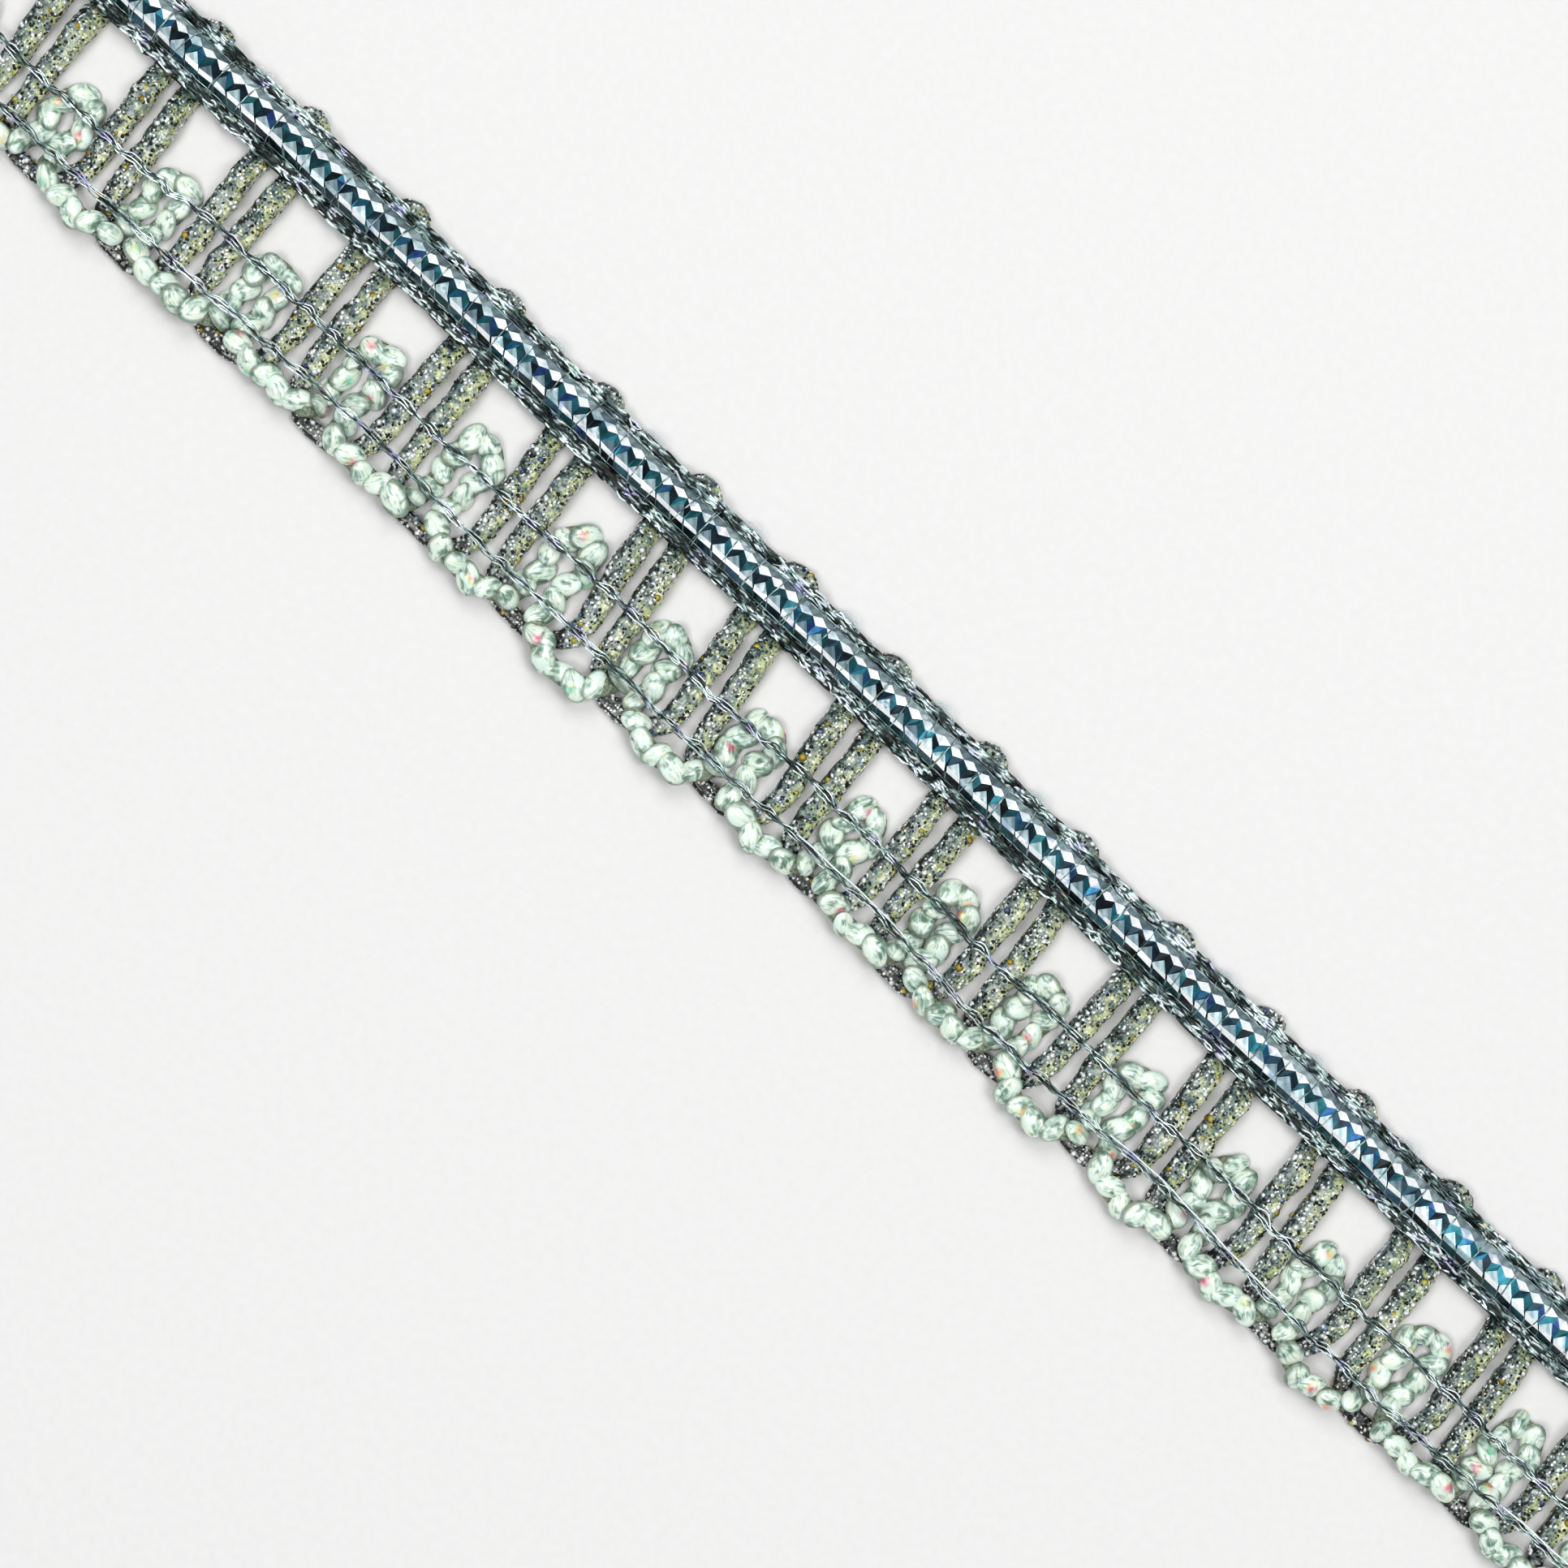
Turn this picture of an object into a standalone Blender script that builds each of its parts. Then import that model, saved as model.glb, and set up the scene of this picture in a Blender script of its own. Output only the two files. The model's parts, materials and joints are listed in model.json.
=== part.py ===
"""A cut length of crocheted sequin lace trim, lying flat and face up.

X runs along the trim, Y across it towards the picots, Z up from the surface.
The tables and sizes are in millimetres, and MM turns them to metres.
"""
import math
from collections import namedtuple

import bmesh
import bpy

MM = 0.001

# Cut ends, middle of the width in the tables' Y, and gap between pieces that touch
END_LEFT = -130.0
END_RIGHT = 130.0
MIDDLE_Y = 4.95
GAP = 0.3

# Glitter cord: full in the bars, pressed flat under the tube, thinner along the lower edge
CORD_WIDE = 3.0
CORD_HIGH = 2.4
CORD_MIDDLE_Y = 3.5
PRESSED_WIDE = 2.6
PRESSED_HIGH = 1.3
PRESSED_LONG = 1.2
PICOT_WIDE = 2.4
PICOT_HIGH = 1.5
PICOT_RADIUS = 1.6
PICOT_TURNS = (25, 57, 90, 123, 155)
FOOT_WIDE = 2.7
FOOT_HIGH = 2.2
TURN_WIDE = 2.5
RUN_WIDE = 2.0
RUN_HIGH = 1.4

# Sequin string: its undersides in an arch, where the lower row binds it, over the cord and between
STRING_WIDE = 2.8
STRING_HIGH = 1.6
STRING_ARCH_Z = 0.2
STRING_BOUND_Z = 0.6
STRING_OVER_Z = RUN_HIGH + GAP
STRING_SAG_Z = 1.3
CLIMB_GAP = 0.4
CLIMB_LONG = 1.4
SHOULDER_DROP = 2.2
HALF_ARCH_PLACES = 5

# Foil tube
TUBE_WIDE = 4.0
TUBE_HIGH = 2.9
TUBE_Z = PRESSED_HIGH + GAP
TUBE_SIDES = 12

# Outer chain row: its distance from the line of the tube, and its loops between the picots
OUTER_WIDE = 1.3
OUTER_HIGH = 0.8
OUTER_Y = 2.95
OUTER_LOW_Z = 0.6
OUTER_OVER = 2.8
OUTER_DOWN = 4.2
LOOP_X = 7.4
LOOP_HALF = 1.5
LOOP_WIDE = 2.2
LOOP_HIGH = 1.3

# Double chain row under the tube
UNDER_WIDE = 1.7
UNDER_HIGH = 1.2
UNDER_Y = -3.15
UNDER_LOW_Z = 0.9
UNDER_OVER = 3.9
UNDER_DOWN = 5.0

# Middle and lower chain rows: how far from a pair's centre each one changes height
ROW_WIDE = 0.9
ROW_HIGH = 0.6
MIDDLE_OVER = 3.3
MIDDLE_DOWN = 3.9
LOWER_OVER = 2.6
LOWER_DOWN = 3.3

# Heights across the trim at which a bar is placed
BAR_TOP_Y = 10.0
BAR_FOOT_Y = -3.0
SPREAD_SUM = 8.6

# One row for each pair of bars, with the arch on its right, from left to right:
# pair: X of the pair at BAR_TOP_Y; lean: how far its foot lies to the right;
# spread: distance between the two bars at BAR_TOP_Y; picot: X of its picot;
# head: Y of the tube; middle, lower: Y of the two chain rows at the pair;
# scallop: lowest Y of the sequins under it; loop: 1 where the outer row loops out;
# arch, top, wide: X, highest Y and outer width of the arch; run: lowest Y of the cord under it
Repeat = namedtuple(
    "Repeat", "pair lean spread picot head middle lower scallop loop arch top wide run")
REPEATS = [Repeat(*row) for row in (
    (-121.6, 1.0, 4.4, -122.4, 14.7, 0.9, -5.4, -9.4, 0, -113.3, 3.6, 6.9, -9.0),
    (-106.9, 1.2, 4.3, -107.4, 14.8, 1.2, -5.1, -9.5, 1, -98.6, 4.1, 6.5, -9.3),
    (-91.8, 0.8, 4.5, -92.4, 15.1, 2.3, -4.9, -8.7, 0, -83.3, 4.8, 6.8, -8.6),
    (-76.0, 0.8, 4.3, -76.6, 15.2, 2.5, -4.0, -8.2, 0, -67.8, 6.0, 6.9, -8.6),
    (-60.4, 0.7, 4.2, -61.4, 15.2, 2.2, -3.7, -8.5, 1, -51.9, 6.4, 7.0, -8.5),
    (-44.6, 1.2, 4.5, -45.6, 15.1, 2.2, -4.1, -9.0, 1, -35.9, 6.3, 7.2, -8.3),
    (-29.3, 1.9, 4.4, -30.0, 15.2, 2.7, -4.1, -10.0, 1, -20.6, 5.1, 6.8, -8.1),
    (-14.4, 1.9, 4.2, -14.9, 15.3, 2.1, -4.2, -9.2, 1, -5.5, 5.0, 7.0, -7.6),
    (1.6, 1.3, 4.5, 0.3, 15.2, 2.7, -3.9, -8.3, 1, 9.9, 5.9, 6.4, -7.7),
    (16.7, 0.6, 4.6, 15.4, 15.2, 2.5, -3.7, -8.3, 1, 24.4, 6.3, 6.4, -8.5),
    (31.2, 1.0, 4.1, 30.1, 15.2, 2.1, -4.7, -8.6, 0, 39.2, 5.3, 6.6, -8.6),
    (46.4, 0.5, 4.0, 45.6, 15.1, 2.1, -4.8, -10.0, 1, 54.2, 5.3, 7.0, -8.5),
    (61.0, 1.1, 4.5, 59.7, 15.2, 1.9, -4.0, -10.0, 1, 69.1, 5.0, 6.8, -9.0),
    (75.8, 1.4, 4.2, 74.4, 15.3, 1.8, -4.9, -9.6, 1, 84.2, 4.7, 6.6, -9.0),
    (90.8, 1.0, 4.3, 89.4, 15.2, 1.8, -5.1, -10.4, 0, 99.1, 6.2, 6.8, -9.0),
    (105.8, 1.3, 4.3, 104.5, 15.2, 1.8, -5.0, -8.9, 0, 114.4, 6.0, 6.8, -8.5),
    (121.2, 1.1, 4.4, 120.0, 15.2, 1.5, -4.3, -9.2, 0, 130.0, 5.5, 6.8, -8.7),
)]
FIRST_ARCH = Repeat(-137.0, 1.0, 4.2, -137.8, 14.7, 0.9, -5.4, -9.2, 0, -130.0, 3.6, 7.0, -8.8)

# Cross-sections as shares of the width and of the height
CORD_SECTION = (
    (-0.32, 0.0), (0.32, 0.0), (0.5, 0.45), (0.3, 1.0), (-0.3, 1.0), (-0.5, 0.45))
FLAT_SECTION = (
    (-0.5, 0.5), (-0.28, 0.0), (0.28, 0.0), (0.5, 0.5), (0.28, 1.0), (-0.28, 1.0))
TUBE_SECTION = tuple(
    (0.5 * math.cos(turn), 0.5 + 0.5 * math.sin(turn))
    for turn in (2.0 * math.pi * side / TUBE_SIDES for side in range(TUBE_SIDES)))

# Places along a piece: X, Y, the height of its underside, its width and its own height
Place = namedtuple("Place", "x y z wide high")


def clear_scene():
    for item in list(bpy.data.objects):
        bpy.data.objects.remove(item, do_unlink=True)


def material(name, colour, metallic, roughness):
    finish = bpy.data.materials.new(name)
    finish.use_nodes = True
    shader = finish.node_tree.nodes["Principled BSDF"]
    shader.inputs["Base Color"].default_value = (*colour, 1.0)
    shader.inputs["Metallic"].default_value = metallic
    shader.inputs["Roughness"].default_value = roughness
    finish.diffuse_color = (*colour, 1.0)
    return finish


def between(a, b, share):
    """Gives the place that lies this share of the way from a to b."""
    return Place(*(p + (q - p) * share for p, q in zip(a, b)))


def cut_to_length(route):
    """Keeps the run of places between the two cut ends, and ends it on the cuts."""
    kept = []
    for a, b in zip(route, route[1:]):
        inside_a = END_LEFT < a.x < END_RIGHT
        inside_b = END_LEFT < b.x < END_RIGHT
        if inside_a and not kept:
            kept.append(a)
        if inside_a != inside_b:
            edge = END_LEFT if min(a.x, b.x) <= END_LEFT else END_RIGHT
            kept.append(between(a, b, (edge - a.x) / (b.x - a.x)))
        if inside_b:
            kept.append(b)
    return kept


def sweep(name, route, section, finish):
    """Draws the upright cross-section along the route and closes both ends."""
    mesh = bmesh.new()
    rings = []
    for i, place in enumerate(route):
        before = route[max(i - 1, 0)]
        after = route[min(i + 1, len(route) - 1)]
        run_x = after.x - before.x
        run_y = after.y - before.y
        if i in (0, len(route) - 1):
            run_x = abs(run_x)
            run_y = 0.0
        length = math.hypot(run_x, run_y)
        side_x = -run_y / length
        side_y = run_x / length
        rings.append([
            mesh.verts.new((
                (place.x + side_x * across * place.wide) * MM,
                (place.y - MIDDLE_Y + side_y * across * place.wide) * MM,
                (place.z + up * place.high) * MM))
            for across, up in section])
    count = len(section)
    for ring, following in zip(rings, rings[1:]):
        for k in range(count):
            mesh.faces.new((ring[k], following[k], following[(k + 1) % count], ring[(k + 1) % count]))
    mesh.faces.new(rings[0])
    mesh.faces.new(list(reversed(rings[-1])))
    bmesh.ops.recalc_face_normals(mesh, faces=mesh.faces)
    data = bpy.data.meshes.new(name)
    mesh.to_mesh(data)
    mesh.free()
    data.shade_smooth()
    data.set_sharp_from_angle(angle=math.radians(50.0))
    data.materials.append(finish)
    piece = bpy.data.objects.new(name, data)
    bpy.context.scene.collection.objects.link(piece)
    return piece


def bar_x(row, side, y):
    """Gives the X of one bar of a pair at a height across the trim; side is -1 or 1."""
    down = (BAR_TOP_Y - y) / (BAR_TOP_Y - BAR_FOOT_Y)
    spread = row.spread + (SPREAD_SUM - 2.0 * row.spread) * down
    return row.pair + row.lean * down + side * spread / 2.0


def cord_bar(row, side, run):
    """Lists one bar from the run along the lower edge up to the picot; side is -1 or 1."""
    foot = bar_x(row, side, BAR_FOOT_Y)
    press_y = row.head + UNDER_Y - UNDER_WIDE / 2.0
    full_y = press_y - PRESSED_LONG
    neck_y = row.head + TUBE_WIDE / 2.0
    neck_x = row.picot + side * PICOT_RADIUS
    tube_x = (bar_x(row, side, press_y) + neck_x) / 2.0
    return [
        Place(foot + side * 3.0, run.y + 0.2, 0.0, RUN_WIDE, RUN_HIGH),
        Place(foot + side * 1.5, run.y + 1.1, 0.0, RUN_WIDE, RUN_HIGH),
        Place(foot + side * 0.4, (run.y + BAR_FOOT_Y) / 2.0 + 0.3, 0.0, TURN_WIDE, RUN_HIGH),
        Place(foot, BAR_FOOT_Y + 0.4, 0.0, FOOT_WIDE, FOOT_HIGH),
        Place(bar_x(row, side, CORD_MIDDLE_Y), CORD_MIDDLE_Y, 0.0, CORD_WIDE, CORD_HIGH),
        Place(bar_x(row, side, full_y), full_y, 0.0, CORD_WIDE, CORD_HIGH),
        Place(bar_x(row, side, press_y), press_y - 0.2, 0.0, CORD_WIDE, PRESSED_HIGH),
        Place(tube_x, row.head - 0.5, 0.0, PRESSED_WIDE, PRESSED_HIGH),
        Place(neck_x, neck_y, 0.0, PICOT_WIDE, PRESSED_HIGH),
    ]


def picot(row):
    """Lists the round end of a picot, from its left side to its right."""
    centre_y = row.head + TUBE_WIDE / 2.0 + 0.3
    return [
        Place(row.picot - PICOT_RADIUS * math.cos(math.radians(turn)),
              centre_y + PICOT_RADIUS * math.sin(math.radians(turn)),
              0.0, PICOT_WIDE, PICOT_HIGH)
        for turn in PICOT_TURNS]


def run_place(row):
    return Place(row.arch, row.run + RUN_WIDE / 2.0, 0.0, RUN_WIDE, RUN_HIGH)


def glitter_cord():
    """Follows the glitter cord through all pairs of bars."""
    places = [run_place(FIRST_ARCH)]
    for before, row in zip([FIRST_ARCH] + REPEATS, REPEATS):
        places += cord_bar(row, -1, run_place(before))
        places += picot(row)
        places += reversed(cord_bar(row, 1, run_place(row)))
        places.append(run_place(row))
    return places


def leg_half(row):
    return (row.wide - STRING_WIDE) / 2.0


def climb_y(row):
    """Gives the Y from which the string lies over the cord under an arch."""
    return row.run + RUN_WIDE + CLIMB_GAP


def arch_places(row):
    """Lists an arch from the foot of its left leg over its top to the foot of its right leg."""
    half = leg_half(row)
    crown = row.top - STRING_WIDE / 2.0
    bound = climb_y(row) + CLIMB_LONG
    shoulder = crown - SHOULDER_DROP
    waist = (bound + shoulder) / 2.0
    shape = (
        (-0.86, bound, STRING_BOUND_Z), (-0.85, waist, STRING_ARCH_Z),
        (-1.0, shoulder, STRING_ARCH_Z), (-0.83, crown - 0.85, STRING_ARCH_Z),
        (-0.4, crown - 0.05, STRING_ARCH_Z), (0.0, crown, STRING_ARCH_Z),
        (0.4, crown - 0.05, STRING_ARCH_Z), (0.83, crown - 0.85, STRING_ARCH_Z),
        (1.0, shoulder, STRING_ARCH_Z), (0.85, waist, STRING_ARCH_Z),
        (0.86, bound, STRING_BOUND_Z))
    return [Place(row.arch + x * half, y, z, STRING_WIDE, STRING_HIGH) for x, y, z in shape]


def scallop_places(before, row):
    """Lists the scallop that hangs under a pair, between its two neighbouring arches."""
    low = row.scallop + STRING_WIDE / 2.0
    left = before.arch + leg_half(before)
    right = row.arch - leg_half(row)
    reach = right - left
    rise_left = climb_y(before) - low
    rise_right = climb_y(row) - low
    shape = (
        (0.0, rise_left, STRING_OVER_Z), (0.13, 0.48 * rise_left, STRING_OVER_Z),
        (0.3, 0.12 * rise_left, STRING_OVER_Z), (0.5, 0.0, STRING_SAG_Z),
        (0.7, 0.12 * rise_right, STRING_OVER_Z), (0.87, 0.48 * rise_right, STRING_OVER_Z),
        (1.0, rise_right, STRING_OVER_Z))
    return [Place(left + share * reach, low + up, z, STRING_WIDE, STRING_HIGH) for share, up, z in shape]


def sequin_string():
    """Follows the sequin string through all arches and scallops."""
    places = arch_places(FIRST_ARCH)[HALF_ARCH_PLACES:]
    for before, row in zip([FIRST_ARCH] + REPEATS, REPEATS):
        places += scallop_places(before, row)
        places += arch_places(row)
    return places[:-HALF_ARCH_PLACES]


def foil_tube():
    """Follows the heading; the tube is straight but for a slight wave."""
    line = [(END_LEFT, REPEATS[0].head)]
    line += [(row.pair, row.head) for row in REPEATS]
    line.append((END_RIGHT, REPEATS[-1].head))
    return [Place(x, y, TUBE_Z, TUBE_WIDE, TUBE_HIGH) for x, y in line]


def chain_row(line, over, down, high_z, low_z, wide, high):
    """Follows a chain row that lies at one height near each pair's centre and at another between."""
    first_y = line[0][1]
    last_y = line[-1][1]
    places = [Place(END_LEFT, first_y, low_z, wide, high)]
    for centre, y in line:
        for shift, z in ((-down, low_z), (-over, high_z), (over, high_z), (down, low_z)):
            places.append(Place(centre + shift, y, z, wide, high))
    places.append(Place(END_RIGHT, last_y, low_z, wide, high))
    return places


def outer_loop(middle, y):
    """Lists a small loop that stands out of the outer row."""
    swell = (LOOP_WIDE - OUTER_WIDE) / 2.0
    return [
        Place(middle - LOOP_HALF, y, OUTER_LOW_Z, OUTER_WIDE, OUTER_HIGH),
        Place(middle, y + swell, OUTER_LOW_Z, LOOP_WIDE, LOOP_HIGH),
        Place(middle + LOOP_HALF, y, OUTER_LOW_Z, OUTER_WIDE, OUTER_HIGH),
    ]


def chain_outer():
    """Follows the outer row: over each picot, and out into a small loop between two of them."""
    line = [(row.picot, row.head + OUTER_Y) for row in REPEATS]
    places = chain_row(line, OUTER_OVER, OUTER_DOWN, PICOT_HIGH + GAP, OUTER_LOW_Z, OUTER_WIDE, OUTER_HIGH)
    for row in REPEATS:
        if row.loop:
            places += outer_loop(row.picot + LOOP_X, row.head + OUTER_Y)
    return sorted(places, key=lambda place: place.x)


def chain_tube():
    """Follows the double row under the tube: over the bars, and lower between them."""
    line = [(row.pair, row.head + UNDER_Y) for row in REPEATS]
    return chain_row(
        line, UNDER_OVER, UNDER_DOWN, PRESSED_HIGH + GAP, UNDER_LOW_Z, UNDER_WIDE, UNDER_HIGH)


def pair_centre(row, y):
    return (bar_x(row, -1, y) + bar_x(row, 1, y)) / 2.0


def chain_middle():
    """Follows the middle row, which lies on the bars and a little lower on the arches."""
    line = [(pair_centre(row, row.middle), row.middle) for row in REPEATS]
    over_arch = STRING_ARCH_Z + STRING_HIGH + GAP
    return chain_row(line, MIDDLE_OVER, MIDDLE_DOWN, CORD_HIGH + GAP, over_arch, ROW_WIDE, ROW_HIGH)


def chain_lower():
    """Follows the lower row, which binds the feet of the bars and the ends of the arches."""
    line = [(pair_centre(row, row.lower), row.lower) for row in REPEATS]
    over_arch = STRING_OVER_Z + STRING_HIGH + GAP
    return chain_row(line, LOWER_OVER, LOWER_DOWN, FOOT_HIGH + GAP, over_arch, ROW_WIDE, ROW_HIGH)


def build():
    clear_scene()
    glitter = material("glitter_film", (0.33, 0.36, 0.27), 0.0, 0.35)
    pearl = material("pearl_sequins", (0.72, 0.80, 0.72), 0.0, 0.22)
    mirror = material("mirror_film", (0.70, 0.74, 0.76), 1.0, 0.15)
    lurex = material("silver_lurex", (0.48, 0.50, 0.50), 1.0, 0.30)
    sweep("glitter_cord", cut_to_length(glitter_cord()), CORD_SECTION, glitter)
    sweep("sequin_string", cut_to_length(sequin_string()), FLAT_SECTION, pearl)
    sweep("foil_tube", foil_tube(), TUBE_SECTION, mirror)
    sweep("chain_outer", chain_outer(), FLAT_SECTION, lurex)
    sweep("chain_tube", chain_tube(), FLAT_SECTION, lurex)
    sweep("chain_middle", chain_middle(), FLAT_SECTION, lurex)
    sweep("chain_lower", chain_lower(), FLAT_SECTION, lurex)


build()
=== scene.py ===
"""Dresses a cut length of crocheted sequin lace trim, lying flat and face up.

X runs along the trim, Y across it towards the picots, Z up from the surface that it lies on.
Sizes and tables are in millimetres, and MM turns them to metres.
"""
import json
import math
from collections import namedtuple

import bpy
import numpy as np
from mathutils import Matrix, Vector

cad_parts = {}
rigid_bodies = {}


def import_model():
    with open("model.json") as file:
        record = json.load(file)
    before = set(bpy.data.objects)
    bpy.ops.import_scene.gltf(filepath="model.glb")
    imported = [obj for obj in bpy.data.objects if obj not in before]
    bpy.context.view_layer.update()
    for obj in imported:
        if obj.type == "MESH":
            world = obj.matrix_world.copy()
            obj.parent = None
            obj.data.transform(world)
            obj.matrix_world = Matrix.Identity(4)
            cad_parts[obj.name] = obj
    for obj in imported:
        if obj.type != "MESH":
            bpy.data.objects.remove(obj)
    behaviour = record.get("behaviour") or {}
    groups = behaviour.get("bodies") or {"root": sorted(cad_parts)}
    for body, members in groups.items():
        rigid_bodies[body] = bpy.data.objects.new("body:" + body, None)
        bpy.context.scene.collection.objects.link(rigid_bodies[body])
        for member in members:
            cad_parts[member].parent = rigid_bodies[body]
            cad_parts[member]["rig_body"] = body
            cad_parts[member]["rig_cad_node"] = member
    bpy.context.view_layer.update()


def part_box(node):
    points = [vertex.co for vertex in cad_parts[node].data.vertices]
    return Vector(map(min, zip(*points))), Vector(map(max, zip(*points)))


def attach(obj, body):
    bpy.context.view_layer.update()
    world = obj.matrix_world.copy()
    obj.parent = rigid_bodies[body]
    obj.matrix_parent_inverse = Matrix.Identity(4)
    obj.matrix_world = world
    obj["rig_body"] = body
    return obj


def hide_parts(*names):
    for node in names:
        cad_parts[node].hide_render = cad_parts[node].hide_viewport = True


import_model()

# Glitter cord. A soft flat cord of folded clear film with glitter cast in it, about 3 mm wide.
# The crochet machine lays it in as one serpentine: up a bar, under the foil tube, round a picot
# and down the next bar, then along the lower edge; it is pressed flat where the tube crosses it.
MM = 0.001
MIDDLE_Y = 4.95
GAP = 0.3
CORD_WIDE = 3.0
CORD_HIGH = 2.4
CORD_MIDDLE_Y = 3.5
PRESSED_WIDE = 2.6
PRESSED_HIGH = 1.3
PRESSED_LONG = 1.2
PICOT_WIDE = 2.6
PICOT_HIGH = 1.5
PICOT_RADIUS = 1.8
PICOT_DROP = 0.2
PICOT_TURNS = (25, 57, 90, 123, 155)
FOOT_WIDE = 2.7
FOOT_HIGH = 2.2
FOOT_UP = 0.4
TURN_WIDE = 2.5
TURN_OUT = 0.4
TURN_UP = 0.3
RUN_WIDE = 2.0
RUN_HIGH = 1.4
RUN_ENDS = ((3.0, 0.2), (1.5, 1.1))
PRESSED_EARLY = 0.2
PRESSED_BELOW = 0.5
BAR_TOP_Y = 10.0
BAR_FOOT_Y = -3.0
SPREAD_SUM = 8.6
TUBE_WIDE = 4.0
UNDER_Y = -3.15
UNDER_WIDE = 1.7
CORD_STEP = 0.55
CORD_SIDES = 16
CORD_ROUND = 0.75
FOLD_SHARE = 0.12
FOLD_REACH = 0.1
FILM_WAVE = 0.06
PICOT_SHADE = 0.2
PICOT_FROM_Y = 16.5
RUN_SHADE = 1.0
RUN_FROM_Y = -4.5
RUN_SHADE_LONG = 1.5

# One row for each pair of bars, with the arch on its right, from left to right:
# pair: X of the pair at BAR_TOP_Y; lean: how far its foot lies to the right;
# spread: distance between the two bars at BAR_TOP_Y; picot: X of its picot;
# head: Y of the tube; middle, lower: Y of the two chain rows at the pair;
# scallop: lowest Y of the sequins under it; loop: 1 where the outer row loops out;
# arch, top, wide: X, highest Y and outer width of the arch; run: lowest Y of the cord under it
Repeat = namedtuple(
    "Repeat", "pair lean spread picot head middle lower scallop loop arch top wide run")
REPEATS = [Repeat(*row) for row in (
    (-121.6, 1.0, 4.4, -122.4, 14.7, 0.9, -5.4, -9.4, 0, -113.3, 3.6, 6.9, -9.0),
    (-106.9, 1.2, 4.3, -107.4, 14.8, 1.2, -5.1, -9.5, 1, -98.6, 4.1, 6.5, -9.3),
    (-91.8, 0.8, 4.5, -92.4, 15.1, 2.3, -4.9, -8.7, 0, -83.3, 4.8, 6.8, -8.6),
    (-76.0, 0.8, 4.3, -76.6, 15.2, 2.5, -4.0, -8.2, 0, -67.8, 6.0, 6.9, -8.6),
    (-60.4, 0.7, 4.2, -61.4, 15.2, 2.2, -3.7, -8.5, 1, -51.9, 6.4, 7.0, -8.5),
    (-44.6, 1.2, 4.5, -45.6, 15.1, 2.2, -4.1, -9.0, 1, -35.9, 6.3, 7.2, -8.3),
    (-29.3, 1.9, 4.4, -30.0, 15.2, 2.7, -4.1, -10.0, 1, -20.6, 5.1, 6.8, -8.1),
    (-14.4, 1.9, 4.2, -14.9, 15.3, 2.1, -4.2, -9.2, 1, -5.5, 5.0, 7.0, -7.6),
    (1.6, 1.3, 4.5, 0.3, 15.2, 2.7, -3.9, -8.3, 1, 9.9, 5.9, 6.4, -7.7),
    (16.7, 0.6, 4.6, 15.4, 15.2, 2.5, -3.7, -8.3, 1, 24.4, 6.3, 6.4, -8.5),
    (31.2, 1.0, 4.1, 30.1, 15.2, 2.1, -4.7, -8.6, 0, 39.2, 5.3, 6.6, -8.6),
    (46.4, 0.5, 4.0, 45.6, 15.1, 2.1, -4.8, -10.0, 1, 54.2, 5.3, 7.0, -8.5),
    (61.0, 1.1, 4.5, 59.7, 15.2, 1.9, -4.0, -10.0, 1, 69.1, 5.0, 6.8, -9.0),
    (75.8, 1.4, 4.2, 74.4, 15.3, 1.8, -4.9, -9.6, 1, 84.2, 4.7, 6.6, -9.0),
    (90.8, 1.0, 4.3, 89.4, 15.2, 1.8, -5.1, -10.4, 0, 99.1, 6.2, 6.8, -9.0),
    (105.8, 1.3, 4.3, 104.5, 15.2, 1.8, -5.0, -8.9, 0, 114.4, 6.0, 6.8, -8.5),
    (121.2, 1.1, 4.4, 120.0, 15.2, 1.5, -4.3, -9.2, 0, 130.0, 5.5, 6.8, -8.7),
)]
FIRST_ARCH = Repeat(-137.0, 1.0, 4.2, -137.8, 14.7, 0.9, -5.4, -9.2, 0, -130.0, 3.6, 7.0, -8.8)

# Places along a cord: X, Y, the height of its underside, its width and its own height
Place = namedtuple("Place", "x y z wide high")


def bar_x(row, side, y):
    """Gives the X of one bar of a pair at a height across the trim; side is -1 or 1."""
    down = (BAR_TOP_Y - y) / (BAR_TOP_Y - BAR_FOOT_Y)
    spread = row.spread + (SPREAD_SUM - 2.0 * row.spread) * down
    return row.pair + row.lean * down + side * spread / 2.0


def cord_bar(row, side, run):
    """Lists one bar from the run along the lower edge up to the picot; side is -1 or 1."""
    foot = bar_x(row, side, BAR_FOOT_Y)
    press_y = row.head + UNDER_Y - UNDER_WIDE / 2.0
    full_y = press_y - PRESSED_LONG
    neck_y = row.head + TUBE_WIDE / 2.0
    neck_x = row.picot + side * PICOT_RADIUS
    tube_x = (bar_x(row, side, press_y) + neck_x) / 2.0
    return [
        *(Place(foot + side * out, run.y + up, 0.0, RUN_WIDE, RUN_HIGH) for out, up in RUN_ENDS),
        Place(foot + side * TURN_OUT, (run.y + BAR_FOOT_Y) / 2.0 + TURN_UP, 0.0, TURN_WIDE, RUN_HIGH),
        Place(foot, BAR_FOOT_Y + FOOT_UP, 0.0, FOOT_WIDE, FOOT_HIGH),
        Place(bar_x(row, side, CORD_MIDDLE_Y), CORD_MIDDLE_Y, 0.0, CORD_WIDE, CORD_HIGH),
        Place(bar_x(row, side, full_y), full_y, 0.0, CORD_WIDE, CORD_HIGH),
        Place(bar_x(row, side, press_y), press_y - PRESSED_EARLY, 0.0, CORD_WIDE, PRESSED_HIGH),
        Place(tube_x, row.head - PRESSED_BELOW, 0.0, PRESSED_WIDE, PRESSED_HIGH),
        Place(neck_x, neck_y, 0.0, PICOT_WIDE, PRESSED_HIGH),
    ]


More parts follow.
